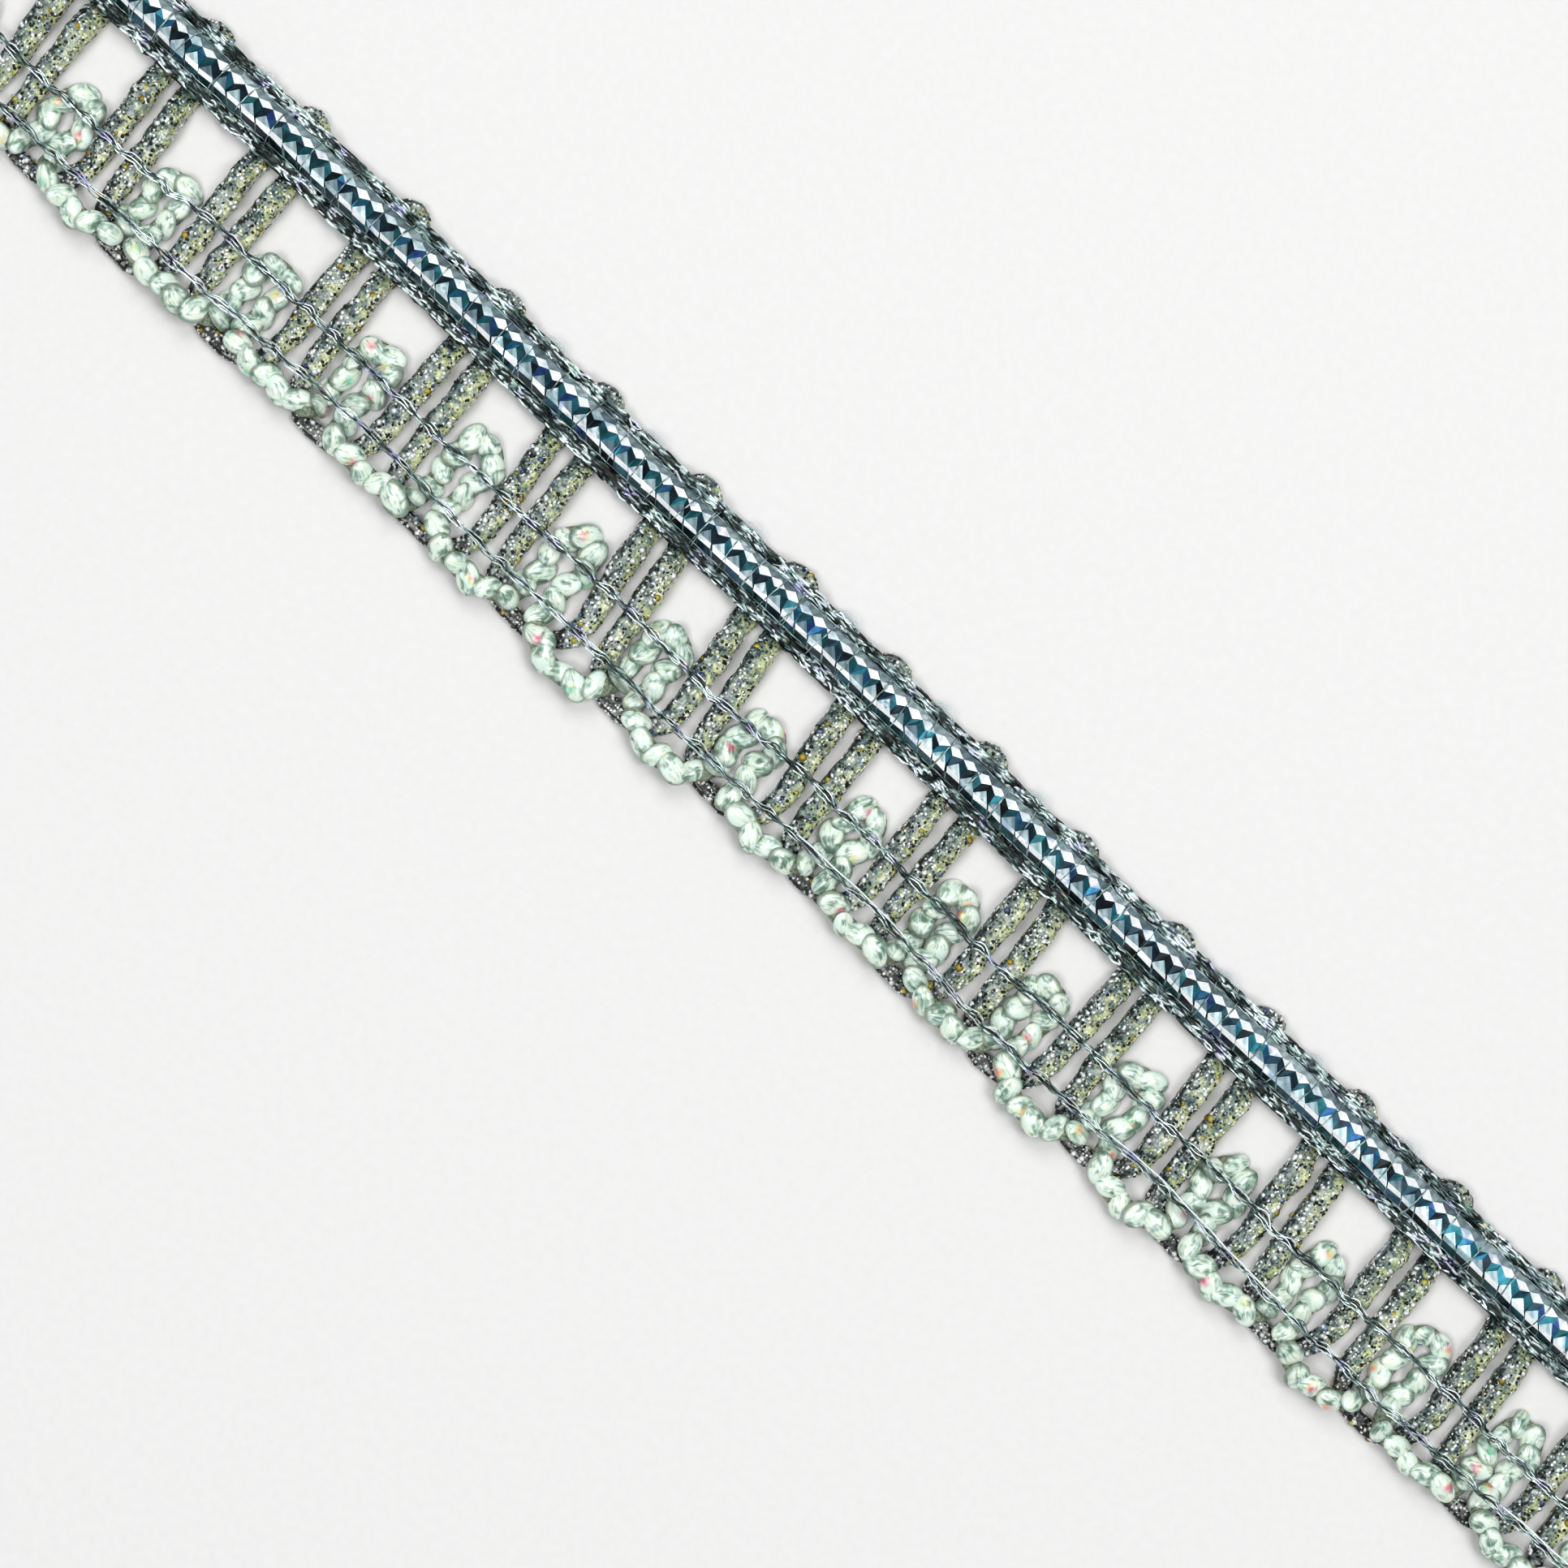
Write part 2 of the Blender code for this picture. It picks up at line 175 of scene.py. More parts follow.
def picot(row):
    """Lists the round end of a picot, from its left side to its right."""
    centre_y = row.head + TUBE_WIDE / 2.0 - PICOT_DROP
    return [
        Place(row.picot - PICOT_RADIUS * math.cos(math.radians(turn)),
              centre_y + PICOT_RADIUS * math.sin(math.radians(turn)),
              0.0, PICOT_WIDE, PICOT_HIGH)
        for turn in PICOT_TURNS]


def run_place(row):
    return Place(row.arch, row.run + RUN_WIDE / 2.0, 0.0, RUN_WIDE, RUN_HIGH)


def cord_places():
    """Follows the glitter cord through all pairs of bars."""
    places = [run_place(FIRST_ARCH)]
    for before, row in zip([FIRST_ARCH] + REPEATS, REPEATS):
        places += cord_bar(row, -1, run_place(before))
        places += picot(row)
        places += reversed(cord_bar(row, 1, run_place(row)))
        places.append(run_place(row))
    return places


def smooth_route(places, step):
    """Reads a smooth curve through the places at even steps, with the widths and heights on it."""
    knots = np.array(places, float)
    gaps = np.linalg.norm(np.diff(knots[:, :2], axis=0), axis=1)
    along = np.concatenate([[0.0], np.cumsum(gaps)])
    slopes = np.gradient(knots, along, axis=0)
    reads = np.linspace(0.0, along[-1], int(along[-1] / step))
    left = np.clip(np.searchsorted(along, reads, side="right") - 1, 0, len(gaps) - 1)
    gap = gaps[left][:, None]
    share = (reads - along[left])[:, None] / gap
    rest = 1.0 - share
    return (
        knots[left] * (1.0 + 2.0 * share) * rest ** 2 + slopes[left] * gap * share * rest ** 2
        + knots[left + 1] * share ** 2 * (3.0 - 2.0 * share) - slopes[left + 1] * gap * share ** 2 * rest)


def frames_along(path):
    """Gives the directions along a path, to its left and up from it, at each of its points."""
    along = np.gradient(path, axis=0)
    along /= np.linalg.norm(along, axis=1, keepdims=True)
    side = np.cross((0.0, 0.0, 1.0), along)
    side /= np.linalg.norm(side, axis=1, keepdims=True)
    return along, side, np.cross(along, side)


def sweep(path, across, up):
    """Draws a section along a path and closes its ends; across and up are measured from the path."""
    _, side, rise = frames_along(path)
    shape = np.broadcast_to(across + up, (len(path), np.shape(across)[-1])).shape
    across = np.broadcast_to(across, shape)
    up = np.broadcast_to(up, shape)
    points = path[:, None] + side[:, None] * across[..., None] + rise[:, None] * up[..., None]
    count = shape[1]
    ring = np.arange(count)
    start = np.arange(len(path) - 1)[:, None] * count
    following = (ring + 1) % count
    walls = np.stack(
        [start + ring, start + following, start + following + count, start + ring + count], axis=-1)
    last = (len(path) - 1) * count
    faces = [walls.reshape(-1, 4), ring[None, ::-1], ring[None] + last]
    return points.reshape(-1, 3), faces


def smooth_noise(random, shape, passes):
    """Gives even random waves over a grid whose second side goes all the way round."""
    noise = random.normal(size=shape)
    for _ in range(passes):
        padded = np.pad(noise, ((1, 1), (0, 0)), mode="edge")
        noise = (padded[:-2] + padded[1:-1] + padded[2:]) / 3.0
        noise = (np.roll(noise, 1, axis=1) + noise + np.roll(noise, -1, axis=1)) / 3.0
    return noise / noise.std()


def put(name, data):
    """Puts an object with this mesh, light or camera in the scene."""
    made = bpy.data.objects.new(name, data)
    bpy.context.scene.collection.objects.link(made)
    return made


def make_piece(name, parts, finish, slot, **marks):
    """Makes one mesh of parts, each its points and groups of faces, and lets it ride on the trim.

    marks are numbers for each point, read by the materials.
    """
    points = np.concatenate([part[0] for part in parts])
    starts = np.cumsum([0] + [len(part[0]) for part in parts])
    corners = [
        face for part, start in zip(parts, starts) for group in part[1] for face in (group + start).tolist()]
    mesh = bpy.data.meshes.new(name)
    mesh.from_pydata(((points - (0.0, MIDDLE_Y, 0.0)) * MM).tolist(), [], corners)
    for mark, values in marks.items():
        mesh.attributes.new(mark, "FLOAT", "POINT").data.foreach_set("value", np.ravel(values))
    mesh.materials.append(finish)
    mesh.shade_smooth()
    piece = put(name, mesh)
    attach(piece, "root")
    return piece


def linear(code):
    """Turns an sRGB hex colour to linear light, with full alpha."""
    parts = [int(code[i:i + 2], 16) / 255.0 for i in (0, 2, 4)]
    return (*(p / 12.92 if p <= 0.04045 else ((p + 0.055) / 1.055) ** 2.4 for p in parts), 1.0)


def add(tree, kind, inputs=None, stops=None, **settings):
    """Adds a node with its settings; inputs holds values or outputs to link, stops a ramp's colours."""
    made = tree.nodes.new("ShaderNode" + kind)
    for key, value in settings.items():
        setattr(made, key, value)
    for key, value in (inputs or {}).items():
        if isinstance(value, bpy.types.NodeSocket):
            tree.links.new(value, made.inputs[key])
        else:
            made.inputs[key].default_value = value
    if stops:
        band = made.color_ramp.elements
        while len(band) < len(stops):
            band.new(1.0)
        for element, (place, code) in zip(band, stops):
            element.position = place
            element.color = linear(code)
    return made


def mark_of(tree, name):
    """Reads a mark of the mesh by its name."""
    return add(tree, "Attribute", attribute_name=name).outputs["Fac"]


def new_finish(name):
    """Starts an empty material and gives it with its node tree."""
    made = bpy.data.materials.new(name)
    made.use_nodes = True
    made.node_tree.nodes.clear()
    return made, made.node_tree


def end_finish(tree, inputs):
    """Ends a material with its shader, which holds these values and links."""
    shader = add(tree, "BsdfPrincipled", inputs)
    add(tree, "OutputMaterial", {"Surface": shader.outputs[0]})


# PVC film, cast with glitter and folded lengthwise: smooth and glossy over a broken grey and khaki.
# Painted light and shade: greyer and darker on its left half, yellower and lighter on its right as if
# lit from there, and darker as painted shade on the picots and on the run under the sequins. The round
# flakes inside it are drawn 0.4 mm apart, coarser than the real ones, so that they show; their black
# to white tones are painted glints.
FLAKE_PITCH = 0.4
CLOUD_LONG = 1.0
glitter_film, tree = new_finish("cast_glitter_pvc_film")
place = add(tree, "TexCoord").outputs["Object"]
half = mark_of(tree, "olive")
cloud = add(tree, "TexNoise", {
    "Vector": place, "Scale": 1.0 / (CLOUD_LONG * MM), "Detail": 3.0, "Roughness": 0.75}).outputs["Fac"]
mixed = add(tree, "Mix", {"Factor": 0.78, 2: half, 3: cloud}, data_type="FLOAT").outputs[0]
ground = add(tree, "ValToRGB", {"Fac": mixed}, stops=(
    (0.38, "141B16"), (0.44, "4A6068"), (0.49, "708880"), (0.54, "8C976C"), (0.61, "C8CE98")))
cells = add(tree, "TexVoronoi", {
    "Vector": place, "Scale": 1.0 / (FLAKE_PITCH * MM), "Randomness": 0.9})
cell_value = add(tree, "SeparateColor", {"Color": cells.outputs["Color"]}).outputs[0]
# Painted glints: the flakes inside the film get tones from black to white, cell by cell
cell_light = add(tree, "ValToRGB", {"Fac": cell_value}, stops=(
    (0.0, "060906"), (0.38, "10150F"), (0.48, "66725F"), (0.68, "A4B0A0"), (0.84, "FBFFFB")))
in_flake = add(tree, "ValToRGB", {"Fac": cells.outputs["Distance"]}, stops=(
    (0.34, "F2F2F2"), (0.46, "000000"))).outputs["Color"]
colour = add(tree, "Mix", {
    "Factor": in_flake, 6: ground.outputs["Color"], 7: cell_light.outputs["Color"]},
    data_type="RGBA").outputs[2]
bump = add(tree, "Bump", {
    "Height": cells.outputs["Distance"], "Strength": 0.4, "Distance": 0.1 * MM}).outputs["Normal"]
end_finish(tree, {
    "Base Color": colour, "Roughness": 0.28, "IOR": 1.53, "Coat Weight": 0.4,
    "Coat Roughness": 0.12, "Normal": bump})

random = np.random.default_rng(3)
cord_route = smooth_route(cord_places(), CORD_STEP)
turns = np.linspace(0.0, 2.0 * math.pi, CORD_SIDES, endpoint=False)
across = 0.5 * np.sign(np.cos(turns)) * np.abs(np.cos(turns)) ** CORD_ROUND
up = 0.5 + 0.5 * np.sign(np.sin(turns)) * np.abs(np.sin(turns)) ** CORD_ROUND
up -= FOLD_SHARE * np.exp(-(across / FOLD_REACH) ** 2) * (up > 0.5)
wave = 1.0 + FILM_WAVE * smooth_noise(random, (len(cord_route), CORD_SIDES), 2)
across = across * wave * cord_route[:, 3:4]
up = np.maximum(up * wave, 0.0) * cord_route[:, 4:5]
cord_part = sweep(cord_route[:, :3], across, up)
_, cord_side, _ = frames_along(cord_route[:, :3])
# Painted light and shade: one side of the cord lighter than the other, the picots and the run darker
olive = 0.5 + cord_side[:, 0:1] * across / cord_route[:, 3:4]
olive -= PICOT_SHADE * (cord_route[:, 1:2] > PICOT_FROM_Y)
olive -= RUN_SHADE * np.clip((RUN_FROM_Y - cord_route[:, 1:2]) / RUN_SHADE_LONG, 0.0, 1.0)
cord = make_piece("glitter_cord_film", [cord_part], glitter_film, "glitter_film", olive=olive)
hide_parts("glitter_cord")

# Glitter flakes. Round-cornered flakes of aluminium-coated polyester, cut 0.3 to 1.0 mm wide and
# cast nearly flat in the film's surface. Some mirror the light and some the dark, and this is painted:
# the bright ones are plain white and the dark ones plain black, as painted reflections; a few are
# gold or blue.
FLAKE_CORNERS = 8
FLAKE_TILT = 0.14
FLAKE_CROWN = 0.08
FLAKE_LIFT = 0.03
FLOOR_CLEAR = 0.02


def flakes(random, surface, count, least, most):
    """Scatters shallow flakes over a swept surface, given as rings of points."""
    rings, sides, _ = surface.shape
    ring = random.integers(1, rings - 2, count)
    side = random.integers(0, sides, count)
    here = surface[ring, side]
    ahead = surface[ring + 1, side] - here
    beside = surface[ring, (side + 1) % sides] - here
    centre = here + ahead * random.random((count, 1)) + beside * random.random((count, 1))
    normal = np.cross(beside, ahead)
    normal /= np.linalg.norm(normal, axis=1, keepdims=True)
    normal += FLAKE_TILT * random.normal(size=(count, 3))
    normal /= np.linalg.norm(normal, axis=1, keepdims=True)
    first = np.cross(normal, ahead)
    first /= np.linalg.norm(first, axis=1, keepdims=True)
    second = np.cross(normal, first)
    radius = random.uniform(least, most, (count, 1)) / 2.0
    rim = []
    for corner in range(FLAKE_CORNERS):
        turn = 2.0 * math.pi * corner / FLAKE_CORNERS
        rim.append(centre + radius * (math.cos(turn) * first + math.sin(turn) * second))
    crown = centre + normal * (radius * FLAKE_CROWN + FLAKE_LIFT)
    points = np.stack(rim + [crown], axis=1)
    points[..., 2] = np.maximum(points[..., 2], FLOOR_CLEAR)
    start = np.arange(count)[:, None] * (FLAKE_CORNERS + 1)
    slopes = [
        start + np.array([[corner, (corner + 1) % FLAKE_CORNERS, FLAKE_CORNERS]])
        for corner in range(FLAKE_CORNERS)]
    backs = start + np.arange(FLAKE_CORNERS)[None, ::-1]
    tint = np.repeat(random.random(count), FLAKE_CORNERS + 1)
    return (points.reshape(-1, 3), slopes + [backs]), tint


# Aluminium-coated polyester flakes, die-cut: bright and dark ones get painted white and black reflections,
# grey ones are metal
Flake = namedtuple("Flake", "name count least most metallic roughness stops")
FLAKES = (
    Flake("dark", 10400, 0.36, 0.54, 0.0, 0.5, ((0.0, "050705"), (0.8, "0A0D0A"), (1.0, "26302B"))),
    Flake("bright", 5600, 0.3, 0.84, 0.0, 0.3, ((0.0, "D9E2E0"), (0.4, "F7FBFA"), (1.0, "FFFFFF"))),
    Flake("grey", 2400, 0.4, 0.8, 0.7, 0.3, ((0.0, "8C9694"), (0.5, "A9B1AC"), (1.0, "C6CCC2"))),
    Flake("amber", 420, 0.5, 1.0, 0.0, 0.3, ((0.0, "8A6A12"), (0.6, "B29A2C"), (1.0, "CFC65A"))),
    Flake("blue", 260, 0.5, 0.9, 0.3, 0.3, ((0.0, "3C4678"), (0.6, "6F7FA8"), (1.0, "9FB6C8"))),
)
surface = cord_part[0].reshape(len(cord_route), CORD_SIDES, 3)
for kind in FLAKES:
    coated, tree = new_finish("coated_polyester_flake_" + kind.name)
    tint_of = mark_of(tree, "tint")
    film = add(tree, "ValToRGB", {"Fac": tint_of}, stops=kind.stops)
    end_finish(tree, {
        "Base Color": film.outputs["Color"], "Metallic": kind.metallic, "Roughness": kind.roughness})
    part, tint = flakes(random, surface, kind.count, kind.least, kind.most)
    make_piece("glitter_flakes_" + kind.name, [part], coated, "glitter_film", tint=tint)

# Sequin string. Cup sequins of pearly clear film, about 3 mm across, strung through their middles
# so close that each lies over the last, tipped left and right in turn like the plies of a rope.
# It is laid in as a second serpentine: an arch between two pairs of bars, a scallop under the next.
STRING_WIDE = 2.8
STRING_HIGH = 1.6
STRING_ARCH_Z = 0.2
STRING_BOUND_Z = 0.6
STRING_OVER_Z = RUN_HIGH + GAP
STRING_SAG_Z = 1.3
CLIMB_GAP = 0.4
CLIMB_LONG = 1.4
SHOULDER_DROP = 2.2
HALF_ARCH_PLACES = 5
STRING_STEP = 0.3
SEQUIN_PITCH = 2.4
SEQUIN_LONG = 4.1
SEQUIN_WIDE = 2.9
SEQUIN_CUP = 0.95
CUP_POWER = 0.6
SEQUIN_RISE = 0.4
SEQUIN_THICK = 0.12
SEQUIN_TIP = 17.0
SEQUIN_ROLL = 12.0
SEQUIN_TURN = 38.0
SEQUIN_ASIDE = 0.22
SEQUIN_LOOSE = 11.0
SIZE_LOOSE = 0.06
SEQUIN_SIDES = 24
RIM_WAVE = 0.035
RING_SHARES = (0.35, 0.62, 0.83, 0.95, 1.0)
CORE_WIDE = 2.2
CORE_HIGH = 1.1
CORE_UP = 0.5
CORE_SIDES = 8


def leg_half(row):
    return (row.wide - STRING_WIDE) / 2.0


def climb_y(row):
    """Gives the Y from which the string lies over the cord under an arch."""
    return row.run + RUN_WIDE + CLIMB_GAP


def arch_places(row):
    """Lists an arch from the foot of its left leg over its top to the foot of its right leg."""
    half = leg_half(row)
    crown = row.top - STRING_WIDE / 2.0
    bound = climb_y(row) + CLIMB_LONG
    shoulder = crown - SHOULDER_DROP
    waist = (bound + shoulder) / 2.0
    left = [
        (-0.86, bound, STRING_BOUND_Z), (-0.85, waist, STRING_ARCH_Z),
        (-1.0, shoulder, STRING_ARCH_Z), (-0.83, crown - 0.85, STRING_ARCH_Z),
        (-0.4, crown - 0.05, STRING_ARCH_Z)]
    shape = left + [(0.0, crown, STRING_ARCH_Z)] + [(-x, y, z) for x, y, z in reversed(left)]
    return [Place(row.arch + x * half, y, z, STRING_WIDE, STRING_HIGH) for x, y, z in shape]


def scallop_places(before, row):
    """Lists the scallop that hangs under a pair, between its two neighbouring arches."""
    low = row.scallop + STRING_WIDE / 2.0
    left = before.arch + leg_half(before)
    right = row.arch - leg_half(row)
    reach = right - left
    rise_left = climb_y(before) - low
    rise_right = climb_y(row) - low
    shape = (
        (0.0, rise_left, STRING_OVER_Z), (0.13, 0.48 * rise_left, STRING_OVER_Z),
        (0.3, 0.12 * rise_left, STRING_OVER_Z), (0.5, 0.0, STRING_SAG_Z),
        (0.7, 0.12 * rise_right, STRING_OVER_Z), (0.87, 0.48 * rise_right, STRING_OVER_Z),
        (1.0, rise_right, STRING_OVER_Z))
    return [Place(left + share * reach, low + up, z, STRING_WIDE, STRING_HIGH) for share, up, z in shape]


def string_places():
    """Follows the sequin string through all arches and scallops."""
    places = arch_places(FIRST_ARCH)[HALF_ARCH_PLACES:]
    for before, row in zip([FIRST_ARCH] + REPEATS, REPEATS):
        places += scallop_places(before, row)
        places += arch_places(row)
    return places[:-HALF_ARCH_PLACES]


def thread(path, wide, high, sides, uneven=1.0):
    """Draws a round or oval thread along a path; uneven scales its section from point to point."""
    turns = np.linspace(0.0, 2.0 * math.pi, sides, endpoint=False)
    return sweep(path, 0.5 * wide * np.cos(turns) * uneven, 0.5 * high * np.sin(turns) * uneven)


def turned(axis, degrees):
    """Gives the matrix that turns about an axis through the origin."""
    x, y, z = axis / np.linalg.norm(axis)
    cross = np.array(((0.0, -z, y), (z, 0.0, -x), (-y, x, 0.0)))
    angle = math.radians(degrees)
    return np.eye(3) + math.sin(angle) * cross + (1.0 - math.cos(angle)) * cross @ cross


def sequin(random):
    """Makes one cup sequin flat on its own middle, with a slightly uneven rim."""
    turn = np.linspace(0.0, 2.0 * math.pi, SEQUIN_SIDES, endpoint=False)
    uneven = 1.0 + RIM_WAVE * smooth_noise(random, (3, SEQUIN_SIDES), 4)[1]
    tops = [(0.0, 0.0, SEQUIN_CUP)]
    for share in RING_SHARES:
        reach = 0.5 * share * (1.0 + (uneven - 1.0) * share)
        height = np.full(SEQUIN_SIDES, SEQUIN_CUP * (1.0 - share ** 2) ** CUP_POWER)
        tops += zip(SEQUIN_LONG * reach * np.cos(turn), SEQUIN_WIDE * reach * np.sin(turn), height)
    tops = np.array(tops)
    ring = np.arange(SEQUIN_SIDES)
    following = (ring + 1) % SEQUIN_SIDES
    low = len(tops)
    fans = [np.stack([np.zeros(SEQUIN_SIDES, int), 1 + ring, 1 + following], axis=1),
            np.stack([np.full(SEQUIN_SIDES, low), low + 1 + following, low + 1 + ring], axis=1)]
    bands = []
    for level in range(len(RING_SHARES) - 1):
        a = 1 + level * SEQUIN_SIDES
        b = a + SEQUIN_SIDES
        bands.append(np.stack([a + ring, b + ring, b + following, a + following], axis=1))
        bands.append(low + np.stack([a + following, b + following, b + ring, a + ring], axis=1))
    rim = 1 + (len(RING_SHARES) - 1) * SEQUIN_SIDES
    bands.append(np.stack([rim + ring, low + rim + ring, low + rim + following, rim + following], axis=1))
    return np.concatenate([tops, tops - (0.0, 0.0, SEQUIN_THICK)]), fans + bands


# Pearlised PET film, drawn to strands that part and meet again from end to end: glossy over mint
# white, grey-green where it is seen through, its white streaks partly painted sheen, painted darker
# towards each rim as shade where the sequins overlap, and with rare painted iridescent glints of
# pink, orange and yellow-green. The strands are drawn 0.2 mm apart, coarser than the real ones, so
# that they show.
STRAND_WIDE = 0.2
STRAND_LONG = 2.6
STRAND_PART = 0.3
CLOUD_WIDE = 1.4
# Painted iridescent glints: patch size, share of sequins, reach, offset and strength
IRIS_GLINT_LONG = 2.4
IRIS_GLINT_SHARE = 0.26
IRIS_GLINT_REACH = 0.75
IRIS_GLINT_ASIDE = 0.7
IRIS_GLINT_STRONG = 0.9
IRIS_GLINT_FULL = 1.1
pearl_film, tree = new_finish("pearlised_pet_sequin_film")
place = add(tree, "TexCoord").outputs["Object"]
length_of = mark_of(tree, "length_of")
width_of = mark_of(tree, "width_of")
number_of = mark_of(tree, "number_of")
on_sequin = add(tree, "CombineXYZ", {"X": length_of, "Y": width_of, "Z": number_of}).outputs[0]
clouded = add(tree, "Mapping", {
    "Vector": on_sequin, "Scale": (1.0 / CLOUD_WIDE, 1.0 / CLOUD_WIDE, 3.7)}).outputs[0]
cloud = add(tree, "TexNoise", {
    "Vector": clouded, "Scale": 1.0, "Detail": 1.0, "Distortion": 0.8}).outputs["Fac"]
flat = add(tree, "Mapping", {
    "Vector": on_sequin, "Scale": (2.0 / SEQUIN_LONG, 2.0 / SEQUIN_WIDE, 0.0)}).outputs[0]
round_of = add(tree, "VectorMath", {0: flat}, operation="LENGTH").outputs["Value"]
long_square = add(tree, "Math", {0: length_of, 1: 2.0}, operation="POWER").outputs[0]
parted = add(tree, "Math", {
    0: long_square, 1: -STRAND_PART, 2: 1.5}, operation="MULTIPLY_ADD").outputs[0]
kept = add(tree, "Math", {0: parted, 1: 0.35}, operation="MAXIMUM").outputs[0]
bent = add(tree, "Math", {0: width_of, 1: kept}, operation="DIVIDE").outputs[0]
swayed = add(tree, "Math", {0: cloud, 1: 0.8, 2: bent}, operation="MULTIPLY_ADD").outputs[0]
strand_x = add(tree, "Math", {0: length_of, 1: 1.0 / STRAND_LONG}, operation="MULTIPLY").outputs[0]
strand_y = add(tree, "Math", {0: swayed, 1: 1.0 / STRAND_WIDE}, operation="MULTIPLY").outputs[0]
on_strand = add(tree, "CombineXYZ", {"X": strand_x, "Y": strand_y, "Z": number_of}).outputs[0]
strand = add(tree, "TexNoise", {
    "Vector": on_strand, "Scale": 1.0, "Detail": 1.5, "Roughness": 0.6}).outputs["Fac"]
# Partly real, partly painted sheen: the strands run from grey-green to white, the whitest streaks painted
# sheen
both = add(tree, "Mix", {"Factor": 0.62, 2: strand, 3: cloud}, data_type="FLOAT").outputs[0]
body = add(tree, "ValToRGB", {"Fac": both}, stops=(
    (0.35, "70826E"), (0.42, "A2B5A2"), (0.48, "CEE0D7"), (0.535, "EFFAF7"), (0.58, "FFFFFF")))
# Painted shade: each sequin darkens to grey-green towards its rim, where the next one overlaps it
rim = add(tree, "MapRange", {
    "Value": round_of, "From Min": 0.84, "From Max": 1.0, "To Max": 0.75}).outputs[0]
rim_shaded = add(tree, "Mix", {
    "Factor": rim, 6: body.outputs["Color"], 7: linear("5E705E")}, data_type="RGBA").outputs[2]
tint_ramp = add(tree, "ValToRGB", {"Fac": cloud}, stops=(
    (0.34, "DCF4F4"), (0.46, "F8FFFC"), (0.56, "F4F8DE"), (0.66, "DCF8EC")))
tinted = add(tree, "Mix", {
    "Factor": 0.8, 6: rim_shaded, 7: tint_ramp.outputs["Color"]},
    data_type="RGBA", blend_type="MULTIPLY").outputs[2]
# Painted iridescent glints: pink, orange, yellow and mint patches mixed in as fixed colour
blush = mark_of(tree, "blush")
iris_glint_cloud = add(tree, "TexNoise", {
    "Vector": place, "Scale": 1.0 / (IRIS_GLINT_LONG * MM), "Detail": 0.0}).outputs["Fac"]
iris_glint_ramp = add(tree, "ValToRGB", {"Fac": iris_glint_cloud}, stops=(
    (0.4, "E0407A"), (0.48, "F58A5A"), (0.56, "EED85A"), (0.64, "7FD8B0")))
colour = add(tree, "Mix", {
    "Factor": blush, 6: tinted, 7: iris_glint_ramp.outputs["Color"]}, data_type="RGBA").outputs[2]
bump = add(tree, "Bump", {
    "Height": strand, "Strength": 0.35, "Distance": 0.12 * MM}).outputs["Normal"]
end_finish(tree, {
    "Base Color": colour, "Roughness": 0.25, "IOR": 1.57, "Coat Weight": 0.5, "Coat Roughness": 0.08,
    "Normal": bump})

# Polyester sewing thread, spun and dyed pale: matt, seen only between the sequins
pale_thread, tree = new_finish("spun_polyester_core_thread")
place = add(tree, "TexCoord").outputs["Object"]
fibres = add(tree, "TexNoise", {
    "Vector": place, "Scale": 1.0 / (0.4 * MM), "Detail": 2.0}).outputs["Fac"]
colour = add(tree, "ValToRGB", {"Fac": fibres}, stops=((0.35, "4E5A46"), (0.65, "909C86")))
end_finish(tree, {
    "Base Color": colour.outputs["Color"], "Roughness": 0.6, "IOR": 1.5})

random = np.random.default_rng(11)
string_route = smooth_route(string_places(), STRING_STEP)
along, side, rise = frames_along(string_route[:, :3])
every = int(round(SEQUIN_PITCH / STRING_STEP))
sequin_parts, shapes, iris_glints = [], [], []
for number, at in enumerate(range(every // 2, len(string_route), every)):
    lean = 1.0 if number % 2 else -1.0
    loose = random.normal(scale=SEQUIN_LOOSE, size=3)
    shape, shape_faces = sequin(random)
    shape *= 1.0 + SIZE_LOOSE * random.normal()
    axes = np.stack([along[at], side[at], rise[at]])
    tip = turned(side[at], SEQUIN_TIP + loose[0])
    roll = turned(along[at], -lean * (SEQUIN_ROLL + loose[1]))
    yaw = turned(rise[at], lean * SEQUIN_TURN + loose[2])
    centre = (
        string_route[at, :3] + side[at] * lean * SEQUIN_ASIDE + rise[at] * STRING_HIGH * SEQUIN_RISE)
    placed = centre + shape @ axes @ (roll @ tip @ yaw).T
    placed[:, 2] = np.maximum(placed[:, 2], FLOOR_CLEAR)
    sequin_parts.append((placed, shape_faces))
    shapes.append(shape)
    # Some sequins get a painted iridescent glint round a spot
    spot = random.normal(size=2) * IRIS_GLINT_ASIDE
    spread = np.hypot(shape[:, 0] - spot[0], shape[:, 1] - spot[1])
    strong = IRIS_GLINT_STRONG if random.random() < IRIS_GLINT_SHARE else 0.0
    iris_glints.append(np.clip(IRIS_GLINT_FULL - spread / IRIS_GLINT_REACH, 0.0, 1.0) * strong)
sequin_points = len(shapes[0])
shapes = np.concatenate(shapes)
sequins = make_piece(
    "sequin_string_sequins", sequin_parts, pearl_film, "pearl_sequins",
    length_of=shapes[:, 0], width_of=shapes[:, 1],
    number_of=np.repeat(np.arange(len(sequin_parts)), sequin_points), blush=np.concatenate(iris_glints))
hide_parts("sequin_string")
core_part = thread(string_route[::2, :3] + (0.0, 0.0, CORE_UP), CORE_WIDE, CORE_HIGH, CORE_SIDES)
make_piece("sequin_string_core", [core_part], pale_thread, "pearl_sequins")

